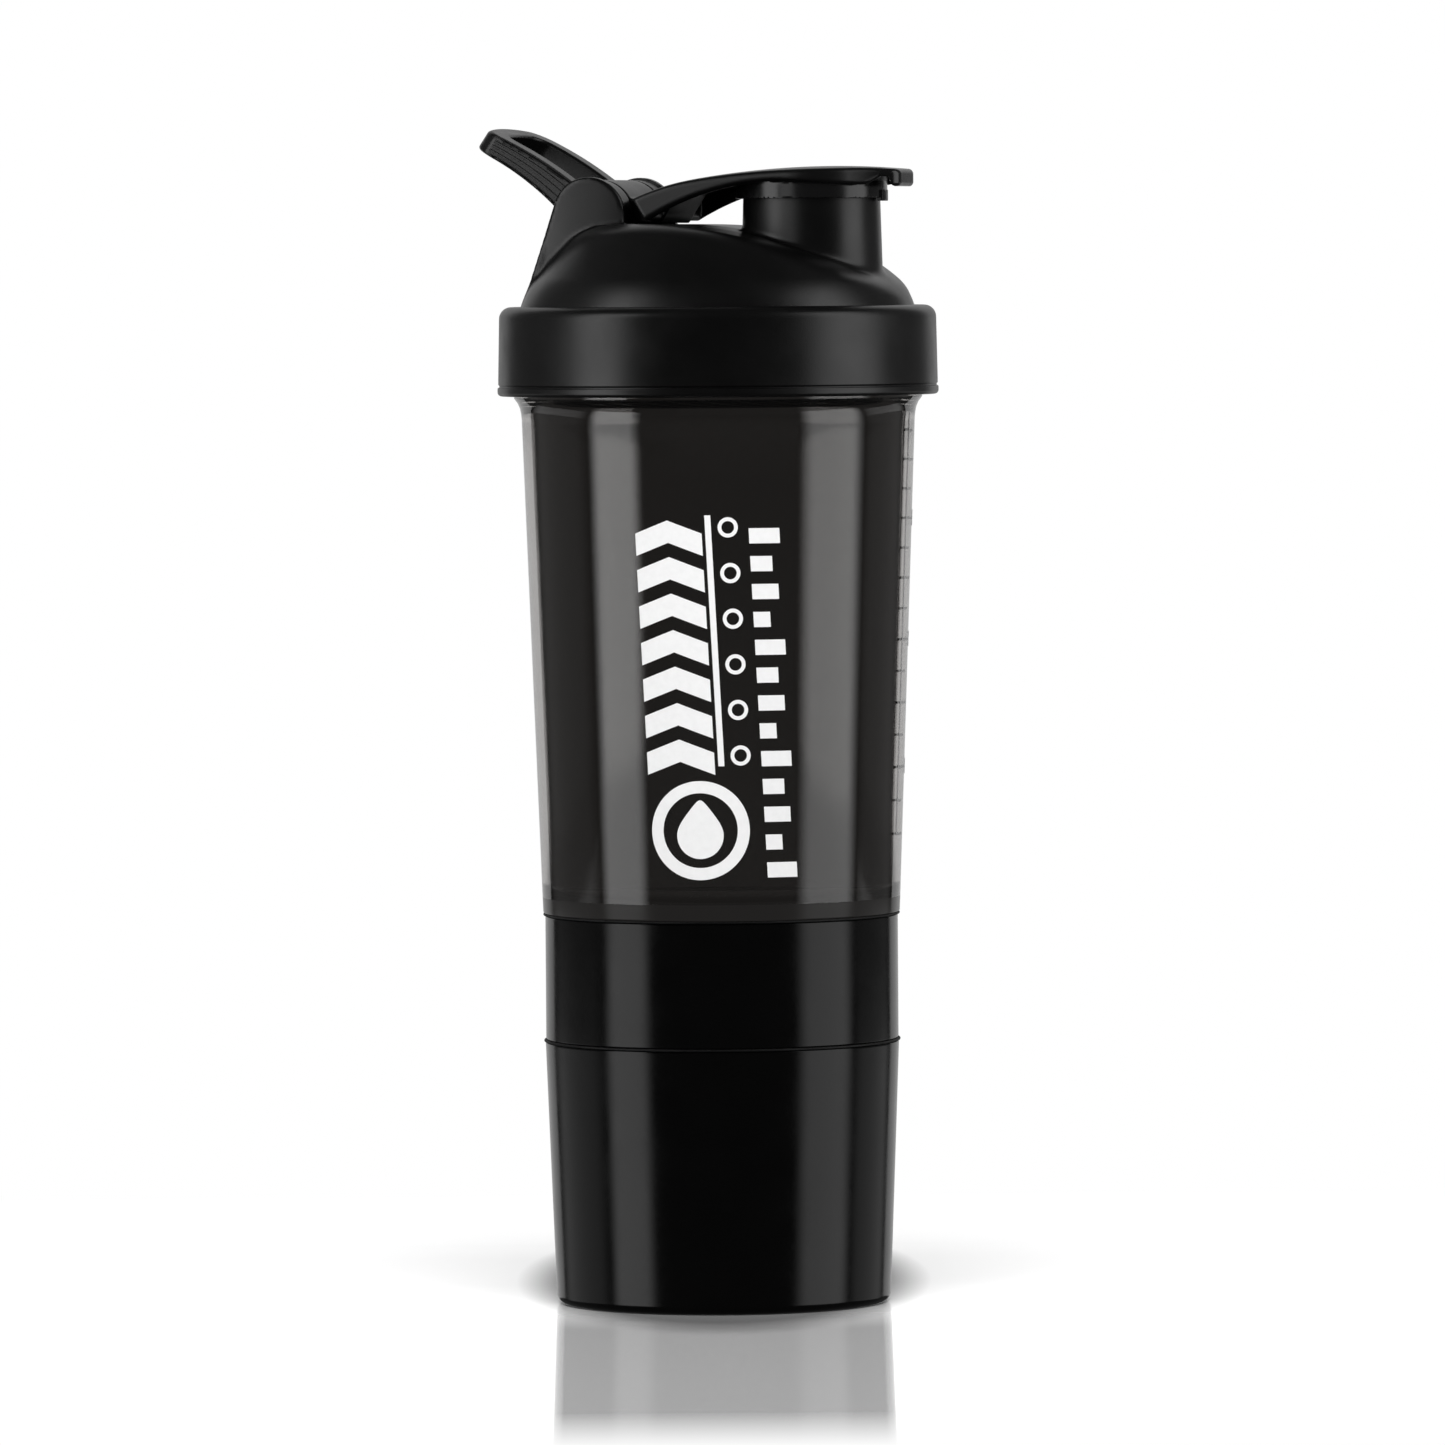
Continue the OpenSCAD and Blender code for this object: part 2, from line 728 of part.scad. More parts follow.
module carry_loop() {
  end_bar = 4;
  panel_depth = 0.4;
  color([0.09, 0.09, 0.095])
    translate([hinge_x, 0, hinge_z])
      rotate([0, loop_rise, 0])
        difference() {
          union() {
            intersection() {
              across(loop_w)
                loop_outline();
              translate([0, 0, -10])
                linear_extrude(20)
                  loop_plan(loop_w / 2, loop_reach, 4);
            }
            for (side = [-1, 1])
              translate([0, side * (loop_w - leg_w) / 2, 0])
                rotate([90, 0, 0])
                  cylinder(r = hub_r, h = leg_w, center = true);
          }
          // Finger opening
          translate([0, 0, -10])
            linear_extrude(20)
              loop_plan(leg_in_y, loop_reach - end_bar, 3);
          rotate([90, 0, 0])
            cylinder(r = bore_r, h = loop_w + 2, center = true);
          // Shallow panels in the outer faces, each with two ribs along it
          for (side = [-1, 1])
            translate([0, side * (loop_w / 2 - panel_depth / 2), 0])
              across(panel_depth + eps)
                difference() {
                  polygon([[-9.5, -1.7], [-9.5, 2], [-24, 1.1], [-24.6, -1.1]]);
                  polygon([[-10, 0.7], [-10, 1], [-23.5, 0.5], [-23.5, 0.2]]);
                  polygon([[-10, -0.8], [-10, -0.5], [-23.5, -0.3], [-23.5, -0.6]]);
                }
        }
}

lower_storage();
lower_storage_seal();
upper_storage();
pill_tray();
upper_storage_seal();
cup();
mixing_grid();
lid_gasket();
lid();
spout();
hinge_pin();
flip_cap();
spout_plug();
carry_loop();
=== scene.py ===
"""Shaker bottle with a flip-cap screw lid, a smoky cup and two storage containers.

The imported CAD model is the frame. Each visible part is rebuilt here as a finer mesh in the same place:
turned parts as lathe meshes, and the lid's dome, the flip cap and the carry loop from distance formulas.
The tray, the grid and the gasket stay CAD nodes, with a material each.
Sizes are in millimetres, and become metres when a mesh is made. +X is towards the spout.
"""
import json
import math
import bpy
import numpy as np
from mathutils import Matrix, Vector


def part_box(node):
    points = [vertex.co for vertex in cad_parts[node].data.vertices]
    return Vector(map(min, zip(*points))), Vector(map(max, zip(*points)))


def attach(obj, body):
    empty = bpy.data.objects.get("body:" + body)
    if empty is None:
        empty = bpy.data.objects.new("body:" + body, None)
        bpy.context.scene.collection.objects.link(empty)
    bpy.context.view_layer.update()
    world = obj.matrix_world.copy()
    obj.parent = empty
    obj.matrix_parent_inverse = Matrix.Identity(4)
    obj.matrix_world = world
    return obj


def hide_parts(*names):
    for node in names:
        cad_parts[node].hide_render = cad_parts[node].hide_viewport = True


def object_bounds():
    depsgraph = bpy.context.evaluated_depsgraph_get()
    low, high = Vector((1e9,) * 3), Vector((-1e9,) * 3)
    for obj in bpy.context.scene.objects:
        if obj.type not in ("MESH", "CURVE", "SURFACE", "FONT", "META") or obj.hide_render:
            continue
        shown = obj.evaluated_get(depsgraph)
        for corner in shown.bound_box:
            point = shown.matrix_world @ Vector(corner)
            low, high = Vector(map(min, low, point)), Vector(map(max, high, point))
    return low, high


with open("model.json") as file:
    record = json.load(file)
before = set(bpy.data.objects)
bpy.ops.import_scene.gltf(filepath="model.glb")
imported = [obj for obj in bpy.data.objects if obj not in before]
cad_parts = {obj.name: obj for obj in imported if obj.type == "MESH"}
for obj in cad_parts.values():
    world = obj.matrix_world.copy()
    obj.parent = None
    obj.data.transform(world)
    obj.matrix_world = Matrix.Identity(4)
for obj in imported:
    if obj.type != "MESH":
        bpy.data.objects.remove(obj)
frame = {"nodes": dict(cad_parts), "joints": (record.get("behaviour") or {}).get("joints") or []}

MM = 0.001
cad_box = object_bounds()


# ---- Sizes, from the frame ----

def node_box(node):
    """A CAD node's lowest and highest corners in millimetres."""
    low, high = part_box(node)
    return np.array(low) / MM, np.array(high) / MM


def joint_place(name):
    """A joint's place in millimetres."""
    return [np.array(j["pos_m"]) / MM for j in frame["joints"] if j["name"] == name][0]


HINGE_X, _, HINGE_Z = joint_place("cap_flip")
LOWER_SEAM_Z = joint_place("lower_unscrew")[2]
UPPER_SEAM_Z = joint_place("upper_unscrew")[2]
COLLAR_Z = joint_place("lid_unscrew")[2]
CAP_TOP_Z = node_box("flip_cap")[1][2]
TAB_END_X = node_box("flip_cap")[1][0]
CUP_RIM_Z = node_box("cup")[1][2]
SPOUT_X = (node_box("spout_plug")[0][0] + node_box("spout_plug")[1][0]) / 2
COLLAR_R = node_box("lid")[1][1]
LOOP_HALF_W = node_box("carry_loop")[1][1]
PIN_R = (node_box("hinge_pin")[1][2] - node_box("hinge_pin")[0][2]) / 2

COLLAR_TOP_Z = COLLAR_Z + 17.8
WALL = 1.9
FLOOR_T = 2.0
DRAFT = 0.0364              # how far the cup and the lower container widen for each millimetre of height
SEAL_HALF = 0.25
SEAT_GAP = 0.05
BASE_R = 33.5
UPPER_R = 35.3
CUP_R = 35.7
RING_R = 32.0               # threaded rings under the upper container and the cup
RING_H = 8.6
MOUTH_R = 33.75             # threaded mouths of the containers
MOUTH_H = 9.2
NECK_R = 40.1               # the cup's threaded neck
STARTS = 2                  # every thread has two starts
SMALL_LEAD, SMALL_DEPTH = 6.0, 1.35
LARGE_LEAD, LARGE_DEPTH = 8.0, 1.5
LATHE_STEPS = 192


def above(seam_z):
    """Where the part over a seam begins."""
    return seam_z + SEAL_HALF + SEAT_GAP


def below(seam_z):
    """Where the part under a seam ends."""
    return seam_z - SEAL_HALF - SEAT_GAP


def body_r(z):
    return BASE_R + DRAFT * z


def cup_wall_r(z):
    return CUP_R + DRAFT * (z - UPPER_SEAM_Z)


# ---- Mesh making ----

def arc(x, y, r, start, end, steps=8):
    """Points of an arc about (x, y), from angle start to angle end in degrees."""
    angles = np.radians(np.linspace(start, end, steps + 1))
    return [(x + r * math.cos(a), y + r * math.sin(a)) for a in angles]


def signed_volume(points, faces):
    """Six times the volume inside faces, which is negative when they face inwards."""
    total = 0.0
    for size in {len(f) for f in faces}:
        corners = points[np.array([f for f in faces if len(f) == size])]
        for k in range(1, size - 1):
            cross = np.cross(corners[:, k], corners[:, k + 1])
            total += np.einsum("ij,ij->", corners[:, 0], cross)
    return total


def new_object(name, data):
    """A new object in the scene."""
    thing = bpy.data.objects.new(name, data)
    bpy.context.scene.collection.objects.link(thing)
    return thing


def add_piece(name, shapes, body, materials, replaced=(), crease=32, weighted=True):
    """Makes one object, riding on a body, from shapes that are each (points, faces, material number).
    In place of the number a shape may have a list with a number for each face."""
    points, faces, numbers, base = [], [], [], 0
    for shape_points, shape_faces, number in shapes:
        shape_points = np.array(shape_points, float)
        if signed_volume(shape_points, shape_faces) < 0:
            shape_faces = [tuple(reversed(f)) for f in shape_faces]
        points.append(shape_points)
        faces += [tuple(int(i) + base for i in f) for f in shape_faces]
        numbers += list(number) if isinstance(number, list) else [number] * len(shape_faces)
        base += len(shape_points)
    mesh = bpy.data.meshes.new(name)
    mesh.from_pydata((np.vstack(points) * MM).tolist(), [], faces)
    for m in materials:
        mesh.materials.append(m)
    mesh.polygons.foreach_set("material_index", numbers)
    mesh.shade_smooth()
    mesh.set_sharp_from_angle(angle=math.radians(crease))
    mesh.update()
    piece = new_object(name, mesh)
    if weighted:
        modifier = piece.modifiers.new("Weighted normals", "WEIGHTED_NORMAL")
        modifier.keep_sharp = True
    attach(piece, body)
    if replaced:
        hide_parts(*replaced)
    return piece


def lathe(outline, number=0, numbers=None, steps=LATHE_STEPS):
    """A body of revolution about Z from a closed outline of (r, z) points.
    numbers, if given, has the material number of each stretch of the outline."""
    angles = np.linspace(0, 2 * math.pi, steps, endpoint=False)
    points, rings = [], []
    for r, z in outline:
        if r < 1e-6:
            rings.append([len(points)] * steps)
            points.append((0.0, 0.0, z))
        else:
            rings.append(list(range(len(points), len(points) + steps)))
            points += [(r * math.cos(a), r * math.sin(a), z) for a in angles]
    faces, face_numbers = [], []
    for k, ring in enumerate(rings):
        following = rings[(k + 1) % len(rings)]
        for i in range(steps):
            j = (i + 1) % steps
            face = tuple(dict.fromkeys((ring[i], ring[j], following[j], following[i])))
            if len(face) > 2:
                faces.append(face)
                face_numbers.append(numbers[k] if numbers else number)
    return points, faces, face_numbers


def thread_ridge(wall_r, crest_r, base_w, crest_w, lead, turn, start, z, number=0):
    """One helical ridge. Its root is sunk in the wall, and its ends fade into it."""
    side = 1 if crest_r > wall_r else -1
    root_r, faded_r = wall_r - side * 0.4, wall_r - side * 0.2
    steps = math.ceil(turn / 3)
    points, faces = [], []
    for i in range(steps + 1):
        angle = math.radians(start + i * turn / steps)
        grow = min(1, i / 8, (steps - i) / 8)
        tip_r = faded_r + (crest_r - faded_r) * grow
        bevel_r = tip_r - side * 0.25 * grow
        section = [(root_r, -base_w), (bevel_r, -crest_w - 0.25), (tip_r, -crest_w),
                   (tip_r, crest_w), (bevel_r, crest_w + 0.25), (root_r, base_w)]
        height = z + lead * i * turn / steps / 360
        points += [(r * math.cos(angle), r * math.sin(angle), height + dz / 2) for r, dz in section]
    n = 6
    for i in range(steps):
        for k in range(n):
            a, b = i * n + k, i * n + (k + 1) % n
            faces.append((a, b, b + n, a + n))
    faces += [tuple(range(n)), tuple(range(steps * n + n - 1, steps * n - 1, -1))]
    return points, faces, number


def screw_thread(wall_r, crest_r, base_w, crest_w, lead, turn, z, number=0):
    return [thread_ridge(wall_r, crest_r, base_w, crest_w, lead, turn, s * 360 / STARTS, z, number)
            for s in range(STARTS)]


def mouth_thread(seam_z):
    return screw_thread(MOUTH_R, MOUTH_R - SMALL_DEPTH, 1.8, 0.7, SMALL_LEAD, 210, seam_z - 7)


def ring_thread(seam_z, number=0):
    return screw_thread(RING_R, RING_R + SMALL_DEPTH, 1.8, 0.7, SMALL_LEAD, 225,
                        seam_z - 7 + SMALL_LEAD / STARTS / 2, number)


def ring_outline(seam_z, wall_r):
    """Outline, from the axis outwards, of a floor, the threaded ring below it and the foot of the wall."""
    low_z, top_z = seam_z - RING_H, above(seam_z)
    return ([(0, top_z), (RING_R - WALL - 0.6, top_z)]
            + arc(RING_R - WALL - 0.6, top_z - 0.6, 0.6, 90, 0, 4)
            + arc(RING_R - WALL + 0.5, low_z + 0.5, 0.5, 180, 270, 4)
            + arc(RING_R - 0.5, low_z + 0.5, 0.5, -90, 0, 4)
            + [(RING_R, top_z - 0.3), (RING_R + 0.3, top_z)]
            + [(wall_r - 0.3, top_z), (wall_r - 0.08, top_z + 0.08), (wall_r, top_z + 0.3)])


def mouth_outline(seam_z, wall_r, inner_r):
    """Outline, from the outer edge inwards, of a container's mouth above a wall of radius inner_r."""
    top_z, low_z = below(seam_z), seam_z - MOUTH_H
    return ([(wall_r - 0.1, top_z - 0.1), (wall_r - 0.35, top_z)]
            + [(MOUTH_R + 0.3, top_z), (MOUTH_R + 0.08, top_z - 0.1), (MOUTH_R, top_z - 0.4)]
            + [(MOUTH_R, low_z), (inner_r, low_z - (MOUTH_R - inner_r))])


# ---- Surfaces from distance formulas ----

def surface(field, low, high, cell):
    """Points and quads of the surface where field(x, y, z) is zero, by dual contouring.
    Each cell's point is where the tangent planes at its edges' crossings meet, so creases stay sharp."""
    low = np.array(low, float)
    count = np.ceil((np.array(high) - low) / cell).astype(int) + 1
    grid = [low[i] + cell * np.arange(count[i]) for i in range(3)]
    value = np.empty(tuple(count))
    chunk = 24
    for k in range(0, count[2], chunk):
        value[:, :, k:k + chunk] = field(grid[0][:, None, None], grid[1][None, :, None],
                                         grid[2][None, None, k:k + chunk])
    inside = value < 0
    ids, normals, offsets, quads = [], [], [], []
    strides = np.array([count[1] * count[2], count[2], 1])
    for axis in range(3):
        at = np.argwhere(np.diff(inside, axis=axis))
        step, u, v = np.roll(np.eye(3, dtype=int), -axis, axis=0)
        start = low + cell * at
        a, b = np.zeros(len(at)), np.ones(len(at))
        fa, fb = value[tuple(at.T)], value[tuple((at + step).T)]
        lower_inside = fa < 0
        for _ in range(6):
            t = a + (b - a) * np.clip(fa / (fa - fb), 0.05, 0.95)
            ft = field(*(start + cell * t[:, None] * step).T)
            same = (ft < 0) == (fa < 0)
            a, fa = np.where(same, t, a), np.where(same, ft, fa)
            b, fb = np.where(same, b, t), np.where(same, fb, ft)
        hit = start + cell * ((a + b) / 2)[:, None] * step
        nudge = cell * 0.02
        normal = np.stack([field(*(hit + nudge * e).T) - field(*(hit - nudge * e).T)
                           for e in np.eye(3)], axis=1)
        normal /= np.maximum(np.linalg.norm(normal, axis=1), 1e-12)[:, None]
        around = np.stack([at - u - v, at - v, at, at - u], axis=1)
        cell_ids = around @ strides
        quads.append(np.where(lower_inside[:, None], cell_ids, cell_ids[:, ::-1]))
        ids.append(cell_ids.ravel())
        centre = low + cell * (around.reshape(-1, 3) + 0.5)
        offsets.append(np.repeat(hit, 4, axis=0) - centre)
        normals.append(np.repeat(normal, 4, axis=0))
    ids, inverse = np.unique(np.concatenate(ids), return_inverse=True)
    n, p = np.concatenate(normals), np.concatenate(offsets)
    hits = np.bincount(inverse)

    def per_cell(weights):
        return np.bincount(inverse, weights)

    mean = np.stack([per_cell(p[:, i]) / hits for i in range(3)], axis=1)
    squares = np.stack([[per_cell(n[:, i] * n[:, j]) for j in range(3)] for i in range(3)])
    squares = squares.transpose(2, 0, 1)
    distance = np.einsum("ij,ij->i", n, p)
    sums = np.stack([per_cell(n[:, i] * distance) for i in range(3)], axis=1)
    damping = 0.02 * hits[:, None, None] * np.eye(3)
    right = sums - np.einsum("kij,kj->ki", squares, mean)
    moved = mean + np.linalg.solve(squares + damping, right[:, :, None])[:, :, 0]
    moved = np.clip(moved, -0.55 * cell, 0.55 * cell)
    index = np.stack(np.unravel_index(ids, tuple(count)), axis=1)
    points = low + cell * (index + 0.5) + moved
    faces = np.searchsorted(ids, np.concatenate(quads))
    return points, faces.tolist(), 0


def both(a, b, r=0.0):
    """Where a and b both hold, with their edge rounded to radius r."""
    if r == 0:
        return np.maximum(a, b)
    return np.minimum(np.maximum(a, b), -r) + np.hypot(np.maximum(a + r, 0), np.maximum(b + r, 0))


def either(a, b, r=0.0):
    """Where a or b holds, with a fillet of radius r in their corner."""
    if r == 0:
        return np.minimum(a, b)
    return np.maximum(np.minimum(a, b), r) - np.hypot(np.maximum(r - a, 0), np.maximum(r - b, 0))


def without(a, b, r=0.0):
    """Where a holds and b doesn't, with the edge rounded to radius r."""
    return both(a, -b, r)


def polygon(x, y, corners):
    """Distance from a polygon's outline, negative inside it."""
    nearest, inside = np.inf, False
    for (ax, ay), (bx, by) in zip(corners, corners[1:] + corners[:1]):
        ex, ey = bx - ax, by - ay
        wx, wy = x - ax, y - ay
        t = np.clip((wx * ex + wy * ey) / (ex * ex + ey * ey), 0, 1)
        nearest = np.minimum(nearest, (wx - ex * t) ** 2 + (wy - ey * t) ** 2)
        if ay != by:
            inside = inside ^ (((ay <= y) != (by <= y)) & (x < ex * (y - ay) / ey + ax))
    return np.where(inside, -1, 1) * np.sqrt(nearest)


def half_plane(x, y, px, py, degrees):
    """Distance past the line through (px, py) whose normal points at that angle."""
    a = math.radians(degrees)
    return (x - px) * math.cos(a) + (y - py) * math.sin(a)


# ---- Materials ----

class Nodes:
    """A new material, or a world if one is given, and short ways of adding nodes to it."""

    def __init__(self, name, world=None):
        self.owner = world or bpy.data.materials.new(name)
        self.owner.use_nodes = True
        self.tree = self.owner.node_tree
        self.shader = self.tree.nodes["Background" if world else "Principled BSDF"]
        self.place = self.add("ShaderNodeTexCoord").outputs["Object"]

    def link(self, source, target):
        self.tree.links.new(source, target)

    def give(self, socket, value):
        """Gives an input its value, which is either plain or the output of another node."""
        if isinstance(value, bpy.types.NodeSocket):
            self.link(value, socket)
        else:
            socket.default_value = value

    def feed(self, node, **inputs):
        """Gives a node's inputs their values by name, with _ for a space."""
        for key, value in inputs.items():
            self.give(node.inputs[key.replace("_", " ")], value)
        return node

    def add(self, kind, **inputs):
        return self.feed(self.tree.nodes.new(kind), **inputs)

    def shade(self, **inputs):
        """Gives the material's own shader its inputs."""
        self.feed(self.shader, **inputs)
        return self.owner

    def show(self, node, output="Material Output"):
        """Makes another shader the surface."""
        self.link(node.outputs[0], self.tree.nodes[output].inputs["Surface"])
        return self.owner

    def mix(self, share, first, second):
        """Two shaders blended, where share is how much of the second there is."""
        node = self.add("ShaderNodeMixShader", Fac=share)
        self.link(first.outputs[0], node.inputs[1])
        self.link(second.outputs[0], node.inputs[2])
        return node

    def noise(self, size_mm, detail=2.0, stretch=None):
        """Noise from 0 to 1 with features of that size."""
        place = self.place
        if stretch:
            place = self.add("ShaderNodeMapping", Vector=place, Scale=stretch).outputs[0]
        return self.add("ShaderNodeTexNoise", Vector=place, Scale=1 / (size_mm * MM),
                        Detail=detail).outputs[0]

    def remap(self, value, low, high, start=0.35, end=0.65):
        """value turned into the range low to high, from where it is start to where it is end."""
        return self.add("ShaderNodeMapRange", Value=value, From_Min=start, From_Max=end,
                        To_Min=low, To_Max=high).outputs[0]

    def math(self, operation, a, b=0.0):
        node = self.add("ShaderNodeMath")
        node.operation = operation
        self.give(node.inputs[0], a)
        self.give(node.inputs[1], b)
        return node.outputs[0]

    def towards(self, direction):
        """How far a place lies in a direction, in metres."""
        node = self.add("ShaderNodeVectorMath", Vector=self.place)
        node.operation = "DOT_PRODUCT"
        node.inputs[1].default_value = direction
        return node.outputs["Value"]

    def colours(self, value, dark, light):
        """A colour that goes from dark, where value is 0.3, to light, where it is 0.7."""
        node = self.add("ShaderNodeValToRGB", Fac=value)
        for element, position, colour in zip(node.color_ramp.elements, (0.3, 0.7), (dark, light)):
            element.position = position
            element.color = (*colour, 1)
        return node.outputs[0]

    def bump(self, height, depth_mm, after=None):
        node = self.add("ShaderNodeBump", Height=height, Distance=depth_mm * MM, Strength=1.0)
        if after:
            self.link(after, node.inputs["Normal"])
        return node.outputs[0]


def moulded(name, dark, light, blue, rough, grain_mm, grain_depth, specular=0.5, wave_depth=0.0):
    """Moulded plastic: a fine grain, slightly uneven grey and gloss, and slow waves if given a depth.
    Its grey goes from dark to light, with that much more blue."""
    m = Nodes(name)
    patches = m.noise(9, 3)
    specks = m.noise(grain_mm, 2)
    normal = m.bump(specks, grain_depth)
    if wave_depth:
        normal = m.bump(m.noise(14, 1), wave_depth, after=normal)
    return m.shade(Base_Color=m.colours(patches, *((grey, grey, grey + blue) for grey in (dark, light))),
                   Roughness=m.math("ADD", m.remap(patches, *rough), m.remap(specks, -0.02, 0.02)),
                   Normal=normal, IOR=1.49, Specular_IOR_Level=specular)


CUP_IOR = 1.53
# painted light: a faint emission on the cup's inner face and base, for light that comes in through the wall
PAINTED_GLOW = (1.0, 0.94, 0.90, 1)


def smoky(name, tint):
    """The cup's clear, dark plastic as seen from outside."""
    m = Nodes(name)
    return m.shade(Base_Color=m.colours(m.noise(16, 2), tuple(0.96 * c for c in tint), tint),
                   Roughness=m.remap(m.noise(5, 3), 0.03, 0.06), Normal=m.bump(m.noise(11, 1), 0.012),
                   Transmission_Weight=1.0, IOR=CUP_IOR)


def smoky_inside(name, tint):
    """The cup's inner face: clear from within the plastic. From the cup's inside it is painted shade, a dark
    opaque face, with a faint emission that is painted light.
    """
    m = Nodes(name)
    m.shade(Base_Color=(*tint, 1), Transmission_Weight=1.0, IOR=CUP_IOR, Roughness=0.04)
    # painted shade: a dark opaque face for the shade in the cup's hollow, with a faint painted glow
    dark = m.add("ShaderNodeBsdfPrincipled", Roughness=0.3, Emission_Color=PAINTED_GLOW, Emission_Strength=0.017,
                 Base_Color=m.colours(m.noise(12, 2), (0.040, 0.038, 0.037), (0.048, 0.045, 0.043)))
    from_within = m.add("ShaderNodeNewGeometry").outputs["Backfacing"]
    return m.show(m.mix(from_within, dark, m.shader))


def smoky_base(name):
    """The cup's thick floor and ring: it lets no light through, and has the inner face's faint emission,
    which is painted light.
    """
    m = Nodes(name)
    return m.shade(Base_Color=m.colours(m.noise(12, 2), (0.006, 0.0058, 0.0056), (0.0075, 0.0072, 0.0070)),
                   Roughness=m.remap(m.noise(5, 3), 0.12, 0.2), Normal=m.bump(m.noise(11, 1), 0.012),
                   Specular_IOR_Level=0.14, Emission_Color=PAINTED_GLOW, Emission_Strength=0.0135)


def print_ink(name, white):
    """Screen-printed ink with a faint weave of the screen."""
    m = Nodes(name)
    return m.shade(Base_Color=m.colours(m.noise(1.2, 2), (0.96 * white,) * 3, (white,) * 3),
                   Roughness=m.remap(m.noise(0.4, 2), 0.42, 0.55), Normal=m.bump(m.noise(0.35, 1), 0.006))


def drawn_steel(name):
    """Steel with fine lines along Y, which is along the hinge pin."""
    m = Nodes(name)
    lines = m.noise(0.25, 2, stretch=(1, 0.05, 1))
    return m.shade(Base_Color=m.colours(lines, (0.46, 0.46, 0.47), (0.60, 0.60, 0.60)),
                   Roughness=m.remap(lines, 0.24, 0.36), Normal=m.bump(lines, 0.004), Metallic=1.0)


LID_PLASTIC = moulded("lid_plastic", 0.0040, 0.0055, 0.0001, (0.30, 0.36), 0.28, 0.010, wave_depth=0.02)
GLOSSY_LID = moulded("lid_plastic_polished", 0.010, 0.013, 0.0003, (0.16, 0.22), 0.4, 0.003)
# the loop's sunk panels: the etched grain and gloss are the real finish, and the lighter grey is painted
# light falling into the panel
ETCHED_AND_PAINTED_LIGHT_LID = moulded("lid_plastic_etched_and_painted_light", 0.038, 0.060, 0, (0.36, 0.5), 0.5, 0.012)
STORAGE_PLASTIC = moulded("storage_plastic", 0.0040, 0.0052, 0, (0.13, 0.17), 0.6, 0.0015,
                          specular=0.25, wave_depth=0.02)
GRID_PLASTIC = moulded("grid_plastic", 0.012, 0.016, 0.0003, (0.30, 0.38), 0.3, 0.008)
TRAY_PLASTIC = moulded("tray_plastic", 0.017, 0.023, 0.0005, (0.34, 0.44), 0.35, 0.010)
SEAL_RUBBER = moulded("seal_rubber", 0.0035, 0.006, 0, (0.55, 0.7), 0.22, 0.015)
PLUG_RUBBER = moulded("plug_rubber", 0.030, 0.042, 0.001, (0.48, 0.6), 0.22, 0.010)
CUP_TINT = (0.56, 0.54, 0.525)
CUP_OUTSIDE = smoky("cup_plastic", CUP_TINT)
CUP_INSIDE = smoky_inside("cup_plastic_inside", CUP_TINT)
CUP_BASE = smoky_base("cup_plastic_base")
PRINT_WHITE = print_ink("print_white", 0.96)
SCALE_WHITE = print_ink("scale_white", 0.40)     # a thinner coat
PIN_STEEL = drawn_steel("pin_steel")


# ---- Storage containers, seals and cup ----

def make_lower_storage():
    top_z = below(LOWER_SEAM_Z)
    foot, floor_z = 1.8, FLOOR_T + 0.8
    inner_r = body_r(floor_z) - WALL
    recess_in_r, recess_out_r = 12.0, 29.0
    recess = ([(0, 0), (recess_in_r, 0)] + arc(recess_in_r + 0.6, 0.2, 0.6, 180, 90, 4)
              + arc(recess_out_r - 0.6, 0.2, 0.6, 90, 0, 4) + [(recess_out_r, 0)])
    outline = (recess
               + arc(BASE_R - foot, foot, foot, -90, 0)
               + [(body_r(top_z - 0.35), top_z - 0.35)]
               + mouth_outline(LOWER_SEAM_Z, body_r(top_z), body_r(LOWER_SEAM_Z - MOUTH_H) - WALL)
               + arc(inner_r - 3, floor_z + 3, 3, 0, -90)
               + [(0, floor_z)])
    add_piece("lower_container", [lathe(outline)] + mouth_thread(LOWER_SEAM_Z),
              "lower_container", [STORAGE_PLASTIC], ["lower_storage"])


def make_upper_storage():
    inside_z = above(LOWER_SEAM_Z) + FLOOR_T
    inner_r = UPPER_R - WALL
    outline = (ring_outline(LOWER_SEAM_Z, UPPER_R)
               + [(UPPER_R, below(UPPER_SEAM_Z) - 0.35)]
               + mouth_outline(UPPER_SEAM_Z, UPPER_R, inner_r)
               + arc(inner_r - 1.5, inside_z + 1.5, 1.5, 0, -90, 6)
               + [(0, inside_z)])
    shapes = [lathe(outline)] + ring_thread(LOWER_SEAM_Z) + mouth_thread(UPPER_SEAM_Z)
    add_piece("upper_container", shapes, "upper_container", [STORAGE_PLASTIC],
              ["upper_storage"])


def make_seal(name, seam_z, body, node):
    """A thin ring in a seam, with a bead that stands proud of the walls."""
    inner_r = node_box(node)[1][0] - 1.95
    bead_r = node_box(node)[1][0] - SEAL_HALF
    outline = ([(inner_r, seam_z - SEAL_HALF)] + arc(bead_r, seam_z, SEAL_HALF, -90, 90, 12)
               + [(inner_r, seam_z + SEAL_HALF)])
    add_piece(name, [lathe(outline)], body, [SEAL_RUBBER], [node])


